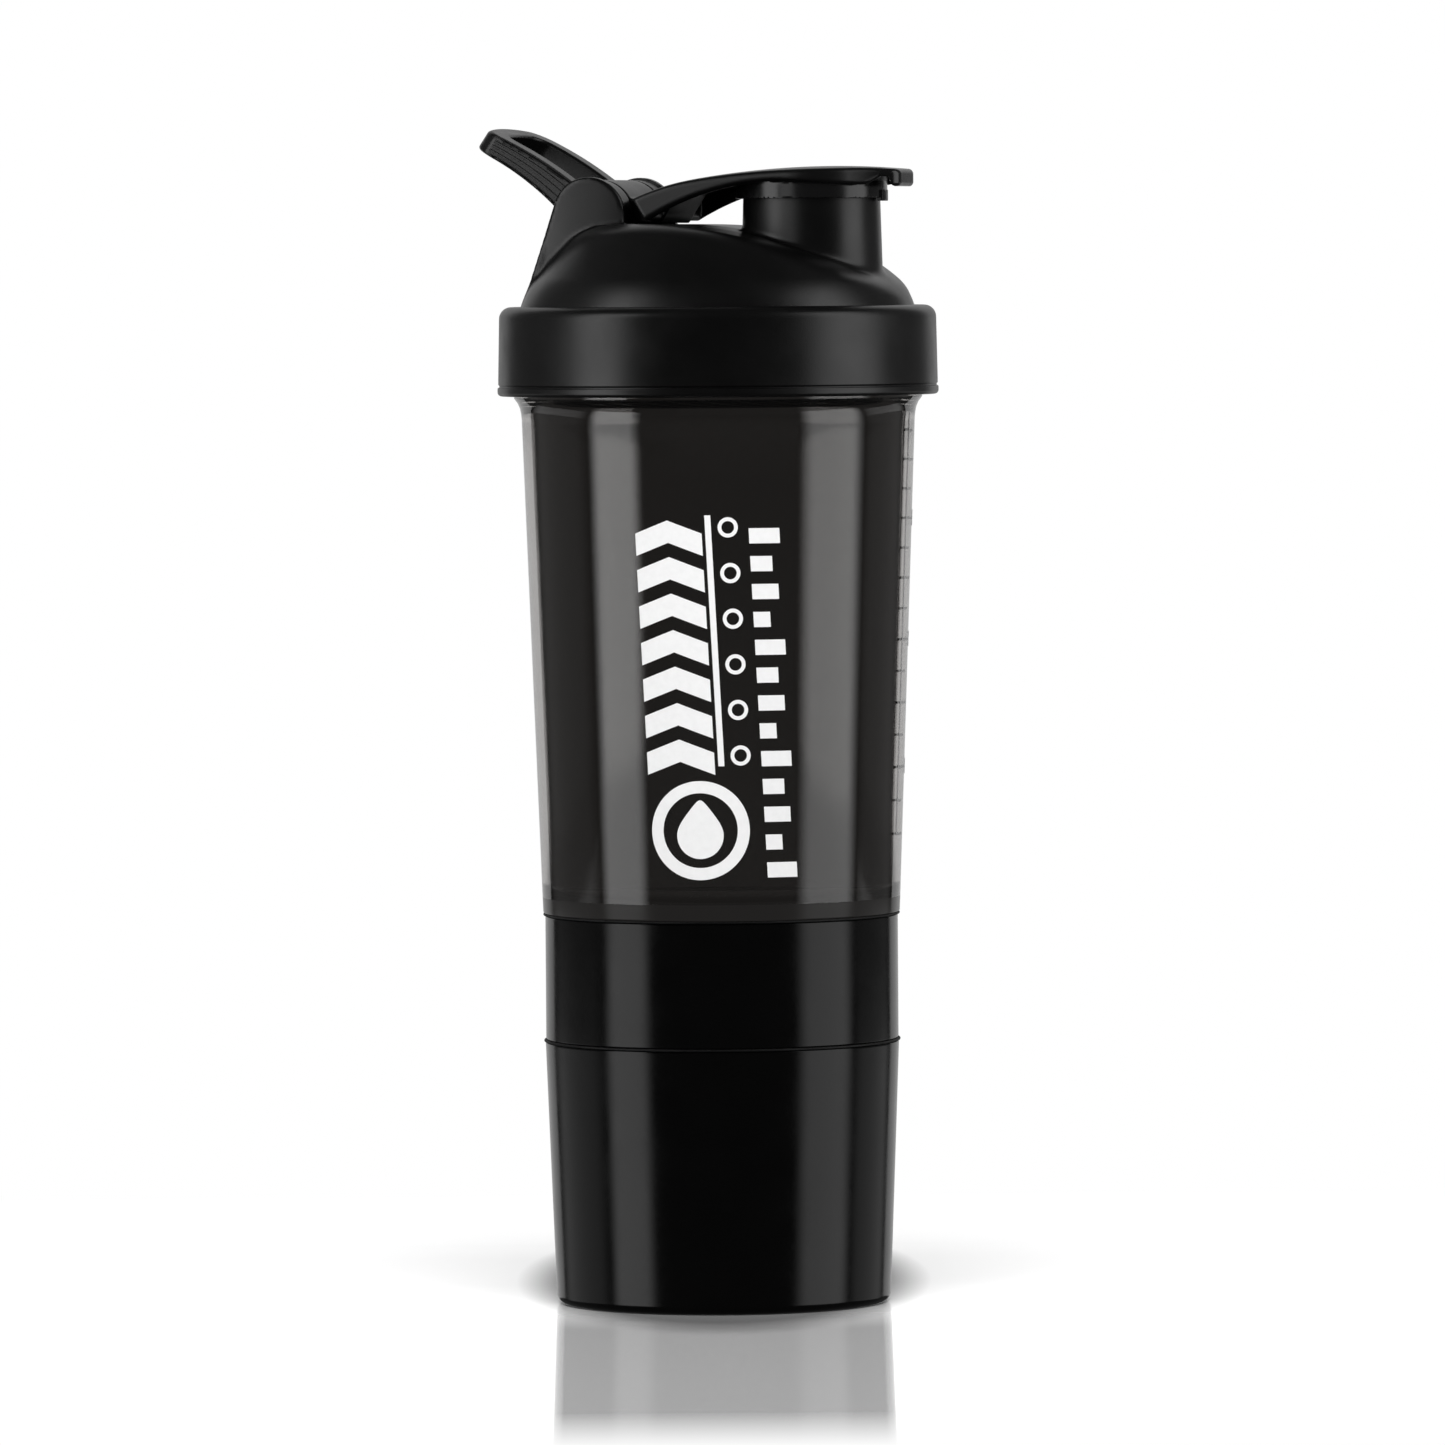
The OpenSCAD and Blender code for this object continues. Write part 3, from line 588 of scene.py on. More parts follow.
def cup_outline():
    """The cup's outline with the number of its material for each stretch: 0 outside, 1 inside, 2 the base."""
    low_z = above(UPPER_SEAM_Z)
    flare_z = COLLAR_Z - 4.6
    inside_z = low_z + FLOOR_T
    neck_z = COLLAR_Z + 0.6
    neck_inner_r = NECK_R - WALL
    shoulder_r = NECK_R + 0.7
    flare_r = cup_wall_r(flare_z)
    flare = (0, 0), (0.12, 1.1), (0.35, 2.2), (0.8, 3.2)
    outside = (ring_outline(UPPER_SEAM_Z, cup_wall_r(low_z))
               + [(cup_wall_r(inside_z + 1.2), inside_z + 1.2)]
               + [(cup_wall_r(z), z) for z in np.linspace(low_z + 6, flare_z - 1, 6)]
               + [(flare_r + out, flare_z + rise) for out, rise in flare]
               + [(shoulder_r - 0.15, flare_z + 3.9), (shoulder_r, flare_z + 4.1),
                  (shoulder_r, neck_z - 0.2), (shoulder_r - 0.2, neck_z), (NECK_R, neck_z + 0.3)]
               + arc(NECK_R - 0.7, CUP_RIM_Z - 0.7, 0.7, 0, 90, 6)
               + arc(neck_inner_r + 0.7, CUP_RIM_Z - 0.7, 0.7, 90, 180, 6))
    inside = ([(neck_inner_r, COLLAR_Z - 0.5), (flare_r - WALL, flare_z - 1)]
              + [(cup_wall_r(z) - WALL, z) for z in np.linspace(flare_z - 12, inside_z + 8, 6)]
              + [(cup_wall_r(inside_z + 4) - WALL, inside_z + 4)]
              + arc(cup_wall_r(inside_z) - WALL - 4, inside_z + 4, 4, 0, -90, 12)
              + [(0, inside_z)])
    outline = outside + inside
    numbers = [0] * (len(outside) - 1) + [1] * (len(inside) + 1)
    for k in range(len(outline)):
        if max(outline[k][1], outline[(k + 1) % len(outline)][1]) < inside_z + 1.3:
            numbers[k] = 2
    return outline, numbers


def make_cup():
    outline, numbers = cup_outline()
    neck = screw_thread(NECK_R, NECK_R + LARGE_DEPTH, 2.4, 1, LARGE_LEAD, 255, COLLAR_Z + 3.8)
    add_piece("cup_wall", [lathe(outline, numbers=numbers)] + neck + ring_thread(UPPER_SEAM_Z, 2),
              "cup", [CUP_OUTSIDE, CUP_INSIDE, CUP_BASE], ["cup"])


# ---- Lid ----

def from_hinge(x, z):
    return np.hypot(x - HINGE_X, z - HINGE_Z)


def from_spout(x, y):
    return np.hypot(x - SPOUT_X, y)


DOME_R = 40.4
DOME_SLOPE = 50.6
ROOF_R, ROOF_X = 101.0, -10.0
ROOF_AXIS_Z = COLLAR_TOP_Z + 16.4 - ROOF_R
SPOUT_R, SPOUT_TOP_Z = 13.6, COLLAR_TOP_Z + 23.4
BORE_R = 11.7
EAR_R, EAR_T = 7.6, 2.3
EAR_IN_Y = LOOP_HALF_W + 0.3
EAR_OUT_Y = EAR_IN_Y + EAR_T
POCKET_R = 8.3
LOOP_RISE = 34.4            # degrees above the horizontal
LOOP_FOLD = 62.0            # degrees that it folds down


def dome_field(x, y, z, inwards, edge):
    """The dome under its curved roof, its walls moved inwards."""
    r = np.hypot(x, y)
    foot = r - (DOME_R - inwards)
    s = math.radians(DOME_SLOPE)
    slope = (r - (DOME_R - inwards - 2.4)) * math.sin(s) + (z - COLLAR_TOP_Z - 3.7) * math.cos(s)
    roof = np.hypot(x - ROOF_X, z - ROOF_AXIS_Z) - (ROOF_R - inwards)
    return both(both(foot, slope, 4.0), roof, edge)


def ear_field(x, y, z):
    """Both ears, each round about the hinge and straight down to the collar."""
    lean = 19
    circle = from_hinge(x, z) - EAR_R
    back = half_plane(x, z, HINGE_X, HINGE_Z, 180 - lean) - EAR_R
    front = x - HINGE_X - EAR_R
    top = half_plane(x, z, HINGE_X + EAR_R, HINGE_Z, 90 - lean / 2)
    outline = either(circle, both(both(back, front), top))
    swell = 0.55 * np.minimum(((x - HINGE_X) / EAR_R) ** 2, 1.5)
    return both(outline, both(np.abs(y) - EAR_OUT_Y + swell, EAR_IN_Y - 0.3 - np.abs(y)), 0.7)


def pocket_field(x, y, z, outwards, half_w):
    """The space for the hubs and for the folded loop."""
    dx, dz = x - HINGE_X, z - HINGE_Z
    turn = math.radians(LOOP_FOLD - LOOP_RISE)
    along = dx * math.cos(turn) + dz * math.sin(turn)
    up = dz * math.cos(turn) - dx * math.sin(turn)
    ramp = both(both(along, -3.5 - outwards - up), up - 16.5)
    return both(either(np.hypot(dx, dz) - POCKET_R - outwards, ramp), np.abs(y) - half_w)


def lid_field(x, y, z):
    spout_r = from_spout(x, y)
    foot_z = COLLAR_TOP_Z + 3
    side = spout_r - SPOUT_R - 0.6 * (SPOUT_TOP_Z - z) / (SPOUT_TOP_Z - foot_z)
    spout = both(both(side, z - SPOUT_TOP_Z, 0.8), foot_z - z)
    solid = either(dome_field(x, y, z, 0, 2.2), spout, 1.1)
    solid = either(solid, ear_field(x, y, z), 0.7)
    hollow = without(dome_field(x, y, z, 2.0, 1.2), pocket_field(x, y, z, 2.0, COLLAR_R), 0.8)
    solid = without(solid, hollow, 0.3)
    solid = without(solid, pocket_field(x, y, z, 0, EAR_IN_Y), 0.45)
    solid = without(solid, both(spout_r - BORE_R, COLLAR_TOP_Z - z), 0.5)
    pin = both(from_hinge(x, z) - PIN_R, 1.1 - EAR_OUT_Y - y)
    solid = without(solid, pin, 0.15)
    return both(solid, COLLAR_TOP_Z - 0.8 - z)


def make_lid_dome():
    cell = 0.58
    reach = DOME_R + 1
    shape = surface(lid_field, (-reach, -reach, COLLAR_TOP_Z - 2), (reach, reach, HINGE_Z + EAR_R + 1), cell)
    return add_piece("lid_dome", [shape], "lid", [LID_PLASTIC], ["lid", "spout"], crease=40,
                     weighted=False)


def make_lid_collar():
    inner_r, seat_z = 42.0, COLLAR_TOP_Z - 1.85
    band_z = COLLAR_Z + 1.9
    foot_round, top_round = 0.8, 2.4
    groove = (0, -0.45), (0.08, -0.25), (0.34, -0.12), (0.4, 0.05), (0.3, 0.25), (0.16, 0.4), (0.16, 1.5)
    outline = ([(inner_r + 0.5, COLLAR_Z), (COLLAR_R - foot_round, COLLAR_Z)]
               + arc(COLLAR_R - foot_round, COLLAR_Z + foot_round, foot_round, -75, 0, 5)
               + [(COLLAR_R - depth, band_z + rise) for depth, rise in groove]
               + arc(COLLAR_R - 0.4 - top_round, COLLAR_TOP_Z - top_round, top_round, 0, 90, 10)
               + [(DOME_R + 0.35, COLLAR_TOP_Z), (DOME_R + 0.1, COLLAR_TOP_Z - 0.12),
                  (DOME_R - 2, COLLAR_TOP_Z - 0.12), (DOME_R - 2, seat_z)]
               + [(inner_r - 0.3, seat_z), (inner_r, seat_z - 0.3), (inner_r, COLLAR_Z + 0.5)])
    thread = screw_thread(inner_r, inner_r - LARGE_DEPTH, 2.4, 1, LARGE_LEAD, 225,
                          COLLAR_Z + 3.8 + LARGE_LEAD / STARTS / 2)
    add_piece("lid_collar", [lathe(outline)] + thread, "lid", [LID_PLASTIC], crease=40)


def make_pin():
    low, high = node_box("hinge_pin")
    length = high[1] - low[1]
    outline = ([(0, 0)] + arc(PIN_R - 0.3, 0.3, 0.3, -90, 0, 4)
               + arc(PIN_R - 0.3, length - 0.3, 0.3, 0, 90, 4) + [(0, length)])
    points, faces, numbers = lathe(outline, steps=48)
    turned = [(HINGE_X + px, low[1] + pz, HINGE_Z + py) for px, py, pz in points]
    add_piece("pin", [(turned, faces, numbers)], "lid", [PIN_STEEL], ["hinge_pin"])


# ---- Flip cap ----

CAP_HALF_W, CAP_WALL = 16.3, 1.6
LEG_IN_Y = LOOP_HALF_W - 4.9
BARREL_HALF_W = LEG_IN_Y - 0.35
HUB_R, HUB_BORE_R = 7.1, PIN_R + 0.06
CAP_ARC_R, CAP_ARC_X = 160.0, 25.0
CAP_BEND_R = 50.0
CAP_ARC_Z = CAP_TOP_Z - CAP_ARC_R
CAP_EDGE_Z = CAP_ARC_Z + math.sqrt(CAP_ARC_R ** 2 - CAP_ARC_X ** 2)
CAP_BEND_X = CAP_ARC_X * CAP_BEND_R / CAP_ARC_R
CAP_BEND_Z = CAP_EDGE_Z - (CAP_EDGE_Z - CAP_ARC_Z) * CAP_BEND_R / CAP_ARC_R
CAP_ROOT_X = -12.9
SEAT_Z = CAP_TOP_Z - 2.6
SKIRT_OUT_R, SKIRT_IN_R, SKIRT_DROP = 15.1, 14.15, 6.4
BOSS_R, BOSS_DROP = 8, 5.2  # the ring that holds the plug


def cap_top(x, z):
    """How far a point lies above the cap's top: a long arc, and a tighter one behind x = 0."""
    long_arc = np.hypot(x - CAP_ARC_X, z - CAP_ARC_Z) - CAP_ARC_R
    bend = np.hypot(x - CAP_BEND_X, z - CAP_BEND_Z) - CAP_BEND_R
    return np.where(x > 0, long_arc, bend)


def cap_plan(x, y):
    """The arm's top view: straight sides, a round end, and the thumb tab that grows out of it."""
    arm = np.where(x > SPOUT_X, from_spout(x, y), np.abs(y)) - CAP_HALF_W
    tab = both(np.abs(y) - 5.5, SPOUT_X - x)
    return both(either(arm, tab, 6.0), x - TAB_END_X, 2.0)


def cap_arm(x, y, z, top):
    """The hollow arm with its tab. It is open below, where its edge is an arch and then a straight line."""
    under_z, under_x = CAP_TOP_Z - 3, 19
    arch = 56 - np.hypot(x - under_x, z - under_z + 56)
    edge = under_z - (x - under_x) * 0.0577 - z
    root = half_plane(x, z, CAP_ROOT_X, CAP_TOP_Z - 5.6, 180 + 30.8)
    plan = cap_plan(x, y)
    outer = both(both(both(top, np.where(x > under_x, edge, arch), 0.5), root, 0.8), plan, 1.0)
    inner = both(both(top + CAP_WALL, plan + CAP_WALL, 0.8), CAP_ROOT_X + 4.5 - x, 0.5)
    arm = without(outer, inner, 0.35)
    # The walls rise towards the thumb tab, and its tip turns down again
    rise_x = 33.4
    rise = polygon(x, z - CAP_TOP_Z, [(rise_x, -4.3), (rise_x + 3.2, -2.2), (TAB_END_X - 1.9, -2.3),
                                      (TAB_END_X - 1.1, -6), (rise_x, -6)])
    return without(arm, rise, 0.6)


def cap_seat(x, y, z):
    """What is under the arm's round end: a disc, the plug's boss, the skirt and its catch."""
    spout_r = from_spout(x, y)
    skirt_z = CAP_TOP_Z - SKIRT_DROP
    disc = both(spout_r - SKIRT_OUT_R, SEAT_Z - z)
    boss = both(both(spout_r - BOSS_R, BOSS_R - CAP_WALL - spout_r, 0.4), SEAT_Z - BOSS_DROP - z, 0.3)
    skirt = both(both(spout_r - SKIRT_OUT_R, SKIRT_IN_R - spout_r, 0.2), skirt_z - z, 0.3)
    catch_ring = both(spout_r - SKIRT_OUT_R - 0.5, SKIRT_IN_R + 0.2 - spout_r, 0.2)
    catch = both(both(catch_ring, both(np.abs(y) - 1.8, SPOUT_X - x), 0.3),
                 np.abs(z - skirt_z - 0.5) - 1.1, 0.3)
    return either(either(either(disc, boss, 0.3), skirt, 0.3), catch)


def cap_web(x, z):
    """Side view of the web that joins the barrel to the arm's root."""
    return polygon(x, z, [(HINGE_X, HINGE_Z), (HINGE_X + 6, HINGE_Z - 3.5), (HINGE_X + 8, HINGE_Z - 1.5),
                          (CAP_ROOT_X + 4, HINGE_Z - 1.5), (CAP_ROOT_X + 8, HINGE_Z + 4.4),
                          (CAP_ROOT_X + 6, HINGE_Z + 5), (CAP_ROOT_X, HINGE_Z + 3.9),
                          (HINGE_X + 6, HINGE_Z + 3)])


def cap_field(x, y, z):
    """The whole cap: the arm, the seat under it, and the barrel on the hinge pin."""
    crown = 0.7 * (y / CAP_HALF_W) ** 2
    top = cap_top(x, z + crown)
    arm = cap_arm(x, y, z, top)
    cap = both(either(arm, both(cap_seat(x, y, z), top + CAP_WALL / 2), 0.4), top)
    hinge_r = from_hinge(x, z)
    width = np.abs(y) - BARREL_HALF_W
    barrel = either(both(hinge_r - HUB_R, width, 0.6), both(cap_web(x, z), width, 0.5), 0.8)
    cap = either(cap, barrel, 0.8)
    # The loop's hubs turn on both sides of the barrel, so the joins stay out of their space
    cap = without(cap, both(hinge_r - HUB_R - 0.6, -width), 0.1)
    return without(cap, both(hinge_r - HUB_BORE_R, width - 1), 0.2)


def make_flip_cap():
    cell = 0.32
    low, high = node_box("flip_cap")
    points, faces, _ = surface(cap_field, low - 1, high + 1, cell)
    x, y, z = points[np.array(faces)].mean(axis=1).T
    on_skirt = (np.abs(from_spout(x, y) - SKIRT_OUT_R) < 0.7) & (z < SEAT_Z - 0.4)
    glossy = on_skirt | (x > SPOUT_X + CAP_HALF_W + 0.4)
    return add_piece("cap", [(points, faces, glossy.astype(int).tolist())], "flip_cap",
                     [LID_PLASTIC, GLOSSY_LID], ["flip_cap"], crease=40, weighted=False)


def make_plug():
    flange_z, flange_r = SPOUT_TOP_Z + 0.3, SPOUT_R - 0.6
    socket_z = SEAT_Z - BOSS_DROP
    low_z = socket_z - 1.8
    fit_r = BORE_R - 0.5
    outline = [(0, low_z), (BORE_R - 2.2, low_z), (BORE_R - 1.7, low_z + 0.15), (BORE_R - 1.2, low_z + 0.8),
               (fit_r, flange_z - 1.2), (fit_r, flange_z), (flange_r - 0.3, flange_z),
               (flange_r, flange_z + 0.3), (flange_r, SEAT_Z),
               (BOSS_R, SEAT_Z), (BOSS_R, socket_z), (0, socket_z)]
    points, faces, numbers = lathe(outline, steps=96)
    moved = [(px + SPOUT_X, py, pz) for px, py, pz in points]
    add_piece("plug", [(moved, faces, numbers)], "flip_cap", [PLUG_RUBBER], ["spout_plug"])


# ---- Carry loop ----

LOOP_REACH, END_BAR = 29.7, 4.0
LOOP_TOP_R, LOOP_TOP_X, LOOP_TOP_V = 84.0, -11.0, 3.3
LOOP_LOW_R, LOOP_LOW_X, LOOP_LOW_V = 60.0, -18.0, -2.1
LOOP_BOW_R = 50.0
RIB_START, RIB_END = -25.4, -8.0


def loop_plan(u, y, half_w, reach, corner):
    tip = np.hypot(u - (LOOP_BOW_R - reach), y) - LOOP_BOW_R
    return both(np.abs(y) - half_w, np.where(u < 0, tip, -LOOP_BOW_R), corner)


def loop_field(u, y, v):
    """The loop in its own frame, with the hinge at the origin and the loop towards -u.
    The outer face of each leg has a sunk panel."""
    top = np.hypot(u - LOOP_TOP_X, v - LOOP_TOP_V + LOOP_TOP_R) - LOOP_TOP_R
    low = LOOP_LOW_R - np.hypot(u - LOOP_LOW_X, v - LOOP_LOW_V + LOOP_LOW_R)
    tip = half_plane(u, v, -LOOP_REACH, LOOP_LOW_V + 1.2, 180 + 21)
    profile = both(both(both(top, low), tip, 0.6), u)
    frame_shape = both(profile, loop_plan(u, y, LOOP_HALF_W, LOOP_REACH, 4.0), 0.75)
    frame_shape = without(frame_shape, loop_plan(u, y, LEG_IN_Y, LOOP_REACH - END_BAR, 3.0), 0.7)
    middle, half = (LOOP_HALF_W + LEG_IN_Y) / 2, (LOOP_HALF_W - LEG_IN_Y) / 2
    hinge_r = np.hypot(u, v)
    hubs = both(hinge_r - HUB_R, np.abs(np.abs(y) - middle) - half, 0.6)
    shape = either(frame_shape, hubs, 1.2)
    shape = without(shape, both(hinge_r - HUB_R - 1, np.abs(y) - LEG_IN_Y), 0.1)
    shape = both(shape, np.abs(y) - LOOP_HALF_W)
    panel = both(both(both(top + 0.95, low + 0.6, 0.3), tip + 3.0, 0.4), u + 7.5)
    shape = without(shape, both(panel, LOOP_HALF_W - 0.5 - np.abs(y)), 0.25)
    return without(shape, hinge_r - HUB_BORE_R, 0.2)


def loop_rib(share, side):
    """A low rib along a leg's sunk outer face, at a share of the leg's height."""
    points, faces = [], []
    stations = np.linspace(RIB_START, RIB_END, 20)
    for u in stations:
        high = LOOP_TOP_V - LOOP_TOP_R + math.sqrt(LOOP_TOP_R ** 2 - (u - LOOP_TOP_X) ** 2)
        low = LOOP_LOW_V - LOOP_LOW_R + math.sqrt(LOOP_LOW_R ** 2 - (u - LOOP_LOW_X) ** 2)
        v = low + (high - low) * share
        for y, half_w in ((LOOP_HALF_W - 0.7, 0.34), (LOOP_HALF_W - 0.22, 0.14)):
            points += [(u, side * y, v - half_w), (u, side * y, v + half_w)]
    for i in range(0, 4 * len(stations) - 4, 4):
        faces += [(i + a, i + b, i + b + 4, i + a + 4) for a, b in ((0, 1), (1, 3), (3, 2), (2, 0))]
    last = 4 * len(stations) - 4
    return points, faces + [(0, 2, 3, 1), (last, last + 1, last + 3, last + 2)], 0


def make_carry_loop():
    cell = 0.24
    low = (-LOOP_REACH - 1, -LOOP_HALF_W - 1, -HUB_R - 1)
    shapes = [surface(loop_field, low, (HUB_R + 1, LOOP_HALF_W + 1, HUB_R + 1), cell)]
    shapes += [loop_rib(share, side) for share in (0.28, 0.5, 0.7) for side in (-1, 1)]
    turn = math.radians(LOOP_RISE)
    placed = []
    for points, faces, _ in shapes:
        points = np.array(points)
        from_middle = np.abs(points[np.array(faces)].mean(axis=1)[:, 1])
        on_panel = (from_middle > LOOP_HALF_W - 0.72) & (from_middle < LOOP_HALF_W - 0.2)
        u, y, v = points.T
        points = np.stack([HINGE_X + u * math.cos(turn) + v * math.sin(turn), y,
                           HINGE_Z - u * math.sin(turn) + v * math.cos(turn)], axis=1)
        placed.append((points, faces, on_panel.astype(int).tolist()))
    # the sunk panels and their ribs take the etched material, whose lighter grey is painted light
    return add_piece("loop", placed, "carry_loop", [LID_PLASTIC, ETCHED_AND_PAINTED_LIGHT_LID], ["carry_loop"],
                     crease=40, weighted=False)


# ---- Print on the cup: generic marks in white ink ----

CAMERA_TURN = 19.0          # degrees from the front, towards +X
PRINT_TURN = CAMERA_TURN - 90


def ink_patch(shape, rows, columns, closed=False, turn=PRINT_TURN):
    """A thin slab of ink on the cup's wall. shape(u, v) gives the distance round the wall and the height."""
    layers = []
    for lift in (0.03, 0.09):
        for i in range(rows + 1):
            for j in range(columns + (0 if closed else 1)):
                s, z = shape(i / rows, j / columns)
                r = cup_wall_r(z)
                angle = math.radians(turn) + s / r
                layers.append(((r + lift) * math.cos(angle), (r + lift) * math.sin(angle), z))
    width = columns + (0 if closed else 1)
    layer = (rows + 1) * width

    def at(i, j, top):
        return top * layer + i * width + j % width

    faces = []

    def edge(i, j, next_i, next_j):
        faces.append((at(i, j, 0), at(next_i, next_j, 0), at(next_i, next_j, 1), at(i, j, 1)))

    for i in range(rows):
        for j in range(columns):
            faces.append((at(i, j, 1), at(i, j + 1, 1), at(i + 1, j + 1, 1), at(i + 1, j, 1)))
            faces.append((at(i, j, 0), at(i + 1, j, 0), at(i + 1, j + 1, 0), at(i, j + 1, 0)))
    for j in range(columns):
        edge(0, j, 0, j + 1)
        edge(rows, j + 1, rows, j)
    if not closed:
        for i in range(rows):
            edge(i + 1, 0, i, 0)
            edge(i, columns, i + 1, columns)
    return layers, faces, 0


def add_print(name, marks, ink):
    return add_piece(name, marks, "cup", [ink], weighted=False)


def slant(s, z, top_z):
    """A distance round the wall, moved right as the height falls, because the print leans a little."""
    return s + (top_z - z) * 0.05


def make_print():
    top_z = COLLAR_Z - 23.2
    marks = []

    def quad(s0, s1, z_low, z_high, rise=0.0):
        """A four-sided mark whose right end is rise higher."""
        columns = max(2, math.ceil(abs(s1 - s0) / 1.5))

        def shape(u, v):
            z = z_low + (z_high - z_low) * u + rise * v
            return slant(s0 + (s1 - s0) * v, z, top_z), z

        marks.append(ink_patch(shape, 2, columns))

    def ring(s, z, outer, inner, steps=48):
        def shape(u, v):
            r = outer + (inner - outer) * u
            a = -2 * math.pi * v
            return slant(s, z, top_z) + r * math.cos(a), z + r * math.sin(a)

        marks.append(ink_patch(shape, 2, steps, closed=True))

    chevron_left, half_chevron, chevron_rise, stroke = -17.2, 6.8, 2.6, 4.4
    for i in range(7):
        z = top_z - 3.6 - i * 7.2
        middle = chevron_left + half_chevron
        quad(chevron_left, middle, z - stroke, z, rise=chevron_rise)
        quad(middle, middle + half_chevron, z - stroke + chevron_rise, z + chevron_rise, rise=-chevron_rise)
    quad(-2.9, -1.7, top_z - 49.5, top_z)
    for i in range(6):
        ring(1.6, top_z - 2.4 - i * 9.0, 2.0, 1.25, 28)
    for i in range(13):
        z = top_z - 2.6 - i * 5.5
        reach = (6.2, 4.4, 5.4, 3.4)[i % 4]
        quad(5.7, 5.7 + reach, z - 3.0, z)
    emblem_s, emblem_z = -7.2, top_z - 62.2
    ring(emblem_s, emblem_z, 9.8, 7.4, 72)

    def drop(u, v):
        a = 2 * math.pi * v
        r = (1 - u) * 4.6 + 0.02
        tip = max(0.0, math.sin(a)) ** 3
        return (slant(emblem_s, emblem_z, top_z) + r * math.cos(a) * (1 - 0.45 * tip),
                emblem_z - 1.0 + r * math.sin(a) + (1 - u) * 2.4 * tip)

    marks.append(ink_patch(drop, 5, 48, closed=True))
    return add_print("cup_print", marks, PRINT_WHITE)


SCALE_TURN = PRINT_TURN + 87
SCALE_LEFT = -8.0           # along the wall, from SCALE_TURN
LINE_W = 0.5
NUMBER_SIZE = 4.6


def volume_height(millilitres):
    """The height to which that much drink fills the cup."""
    z, filled = above(UPPER_SEAM_Z) + FLOOR_T, 0.0
    step = 0.1
    while filled < millilitres * 1000:
        filled += math.pi * (cup_wall_r(z) - WALL) ** 2 * step
        z += step
    return z


def make_volume_scale():
    """A mark for every 25 ml, longer at 50 and 100, and a line down their left ends."""
    marks = []
    for level in range(50, 401, 25):
        z = volume_height(level)
        length = 7.0 if level % 100 == 0 else 5.0 if level % 50 == 0 else 3.2
        marks.append(ink_patch(lambda u, v: (SCALE_LEFT + length * v, z + LINE_W * (u - 0.5)), 1, 4,
                               turn=SCALE_TURN))
    low_z, top_z = volume_height(50), volume_height(400)
    marks.append(ink_patch(lambda u, v: (SCALE_LEFT + LINE_W * (v - 1), low_z + u * (top_z - low_z)), 12, 1,
                           turn=SCALE_TURN))
    return add_print("volume_scale", marks, SCALE_WHITE)


def make_volume_number(level):
    """The number beside a mark, wrapped round the cup's wall."""
    name = f"volume_{level}"
    curve = bpy.data.curves.new(name, "FONT")
    curve.body = str(level)
    curve.size = NUMBER_SIZE * MM
    curve.extrude = 0.03 * MM
    text = new_object(name, curve)
    bpy.context.view_layer.update()
    mesh = bpy.data.meshes.new_from_object(text.evaluated_get(bpy.context.evaluated_depsgraph_get()))
    bpy.data.objects.remove(text)
    across, up, out = np.array([v.co for v in mesh.vertices]).T / MM
    z = volume_height(level) - 1.6 + up
    r = cup_wall_r(z)
    angle = math.radians(SCALE_TURN) + (across + 0.6) / r
    lift = r + 0.06 + out
    placed = np.stack([lift * np.cos(angle), lift * np.sin(angle), z], axis=1)
    faces = [tuple(p.vertices) for p in mesh.polygons]
    return add_print(name, [(placed, faces, 0)], SCALE_WHITE)


# ---- Build ----

make_lower_storage()
make_upper_storage()
make_seal("lower_seal_ring", LOWER_SEAM_Z, "lower_seal", "lower_storage_seal")
make_seal("upper_seal_ring", UPPER_SEAM_Z, "upper_seal", "upper_storage_seal")
make_cup()
dome = make_lid_dome()
make_lid_collar()
lid_top = [dome, make_carry_loop(), make_flip_cap()]
make_pin()
make_plug()
printed = [make_print(), make_volume_scale()] + [make_volume_number(level) for level in (100, 200, 300, 400)]

for node, finish in (("pill_tray", TRAY_PLASTIC), ("mixing_grid", GRID_PLASTIC), ("lid_gasket", SEAL_RUBBER)):
    for s in frame["nodes"][node].material_slots:
        s.material = finish


# ---- Stage: floor, lights and camera ----

BACK_STRENGTH = 0.6
WHITE = (1, 1, 1, 1)
SHADOW_HALF_W, SHADOW_HALF_L = 0.0425, 0.125      # the painted shadow under the bottle, in metres
SHADOW_BEHIND = 0.050       # how far its middle is behind the bottle's axis


def stage_plane(name, corners, material):
    mesh = bpy.data.meshes.new(name)
    mesh.from_pydata(corners, [], [(0, 1, 2, 3)])
    mesh.materials.append(material)
    plane = new_object(name, mesh)
    return plane


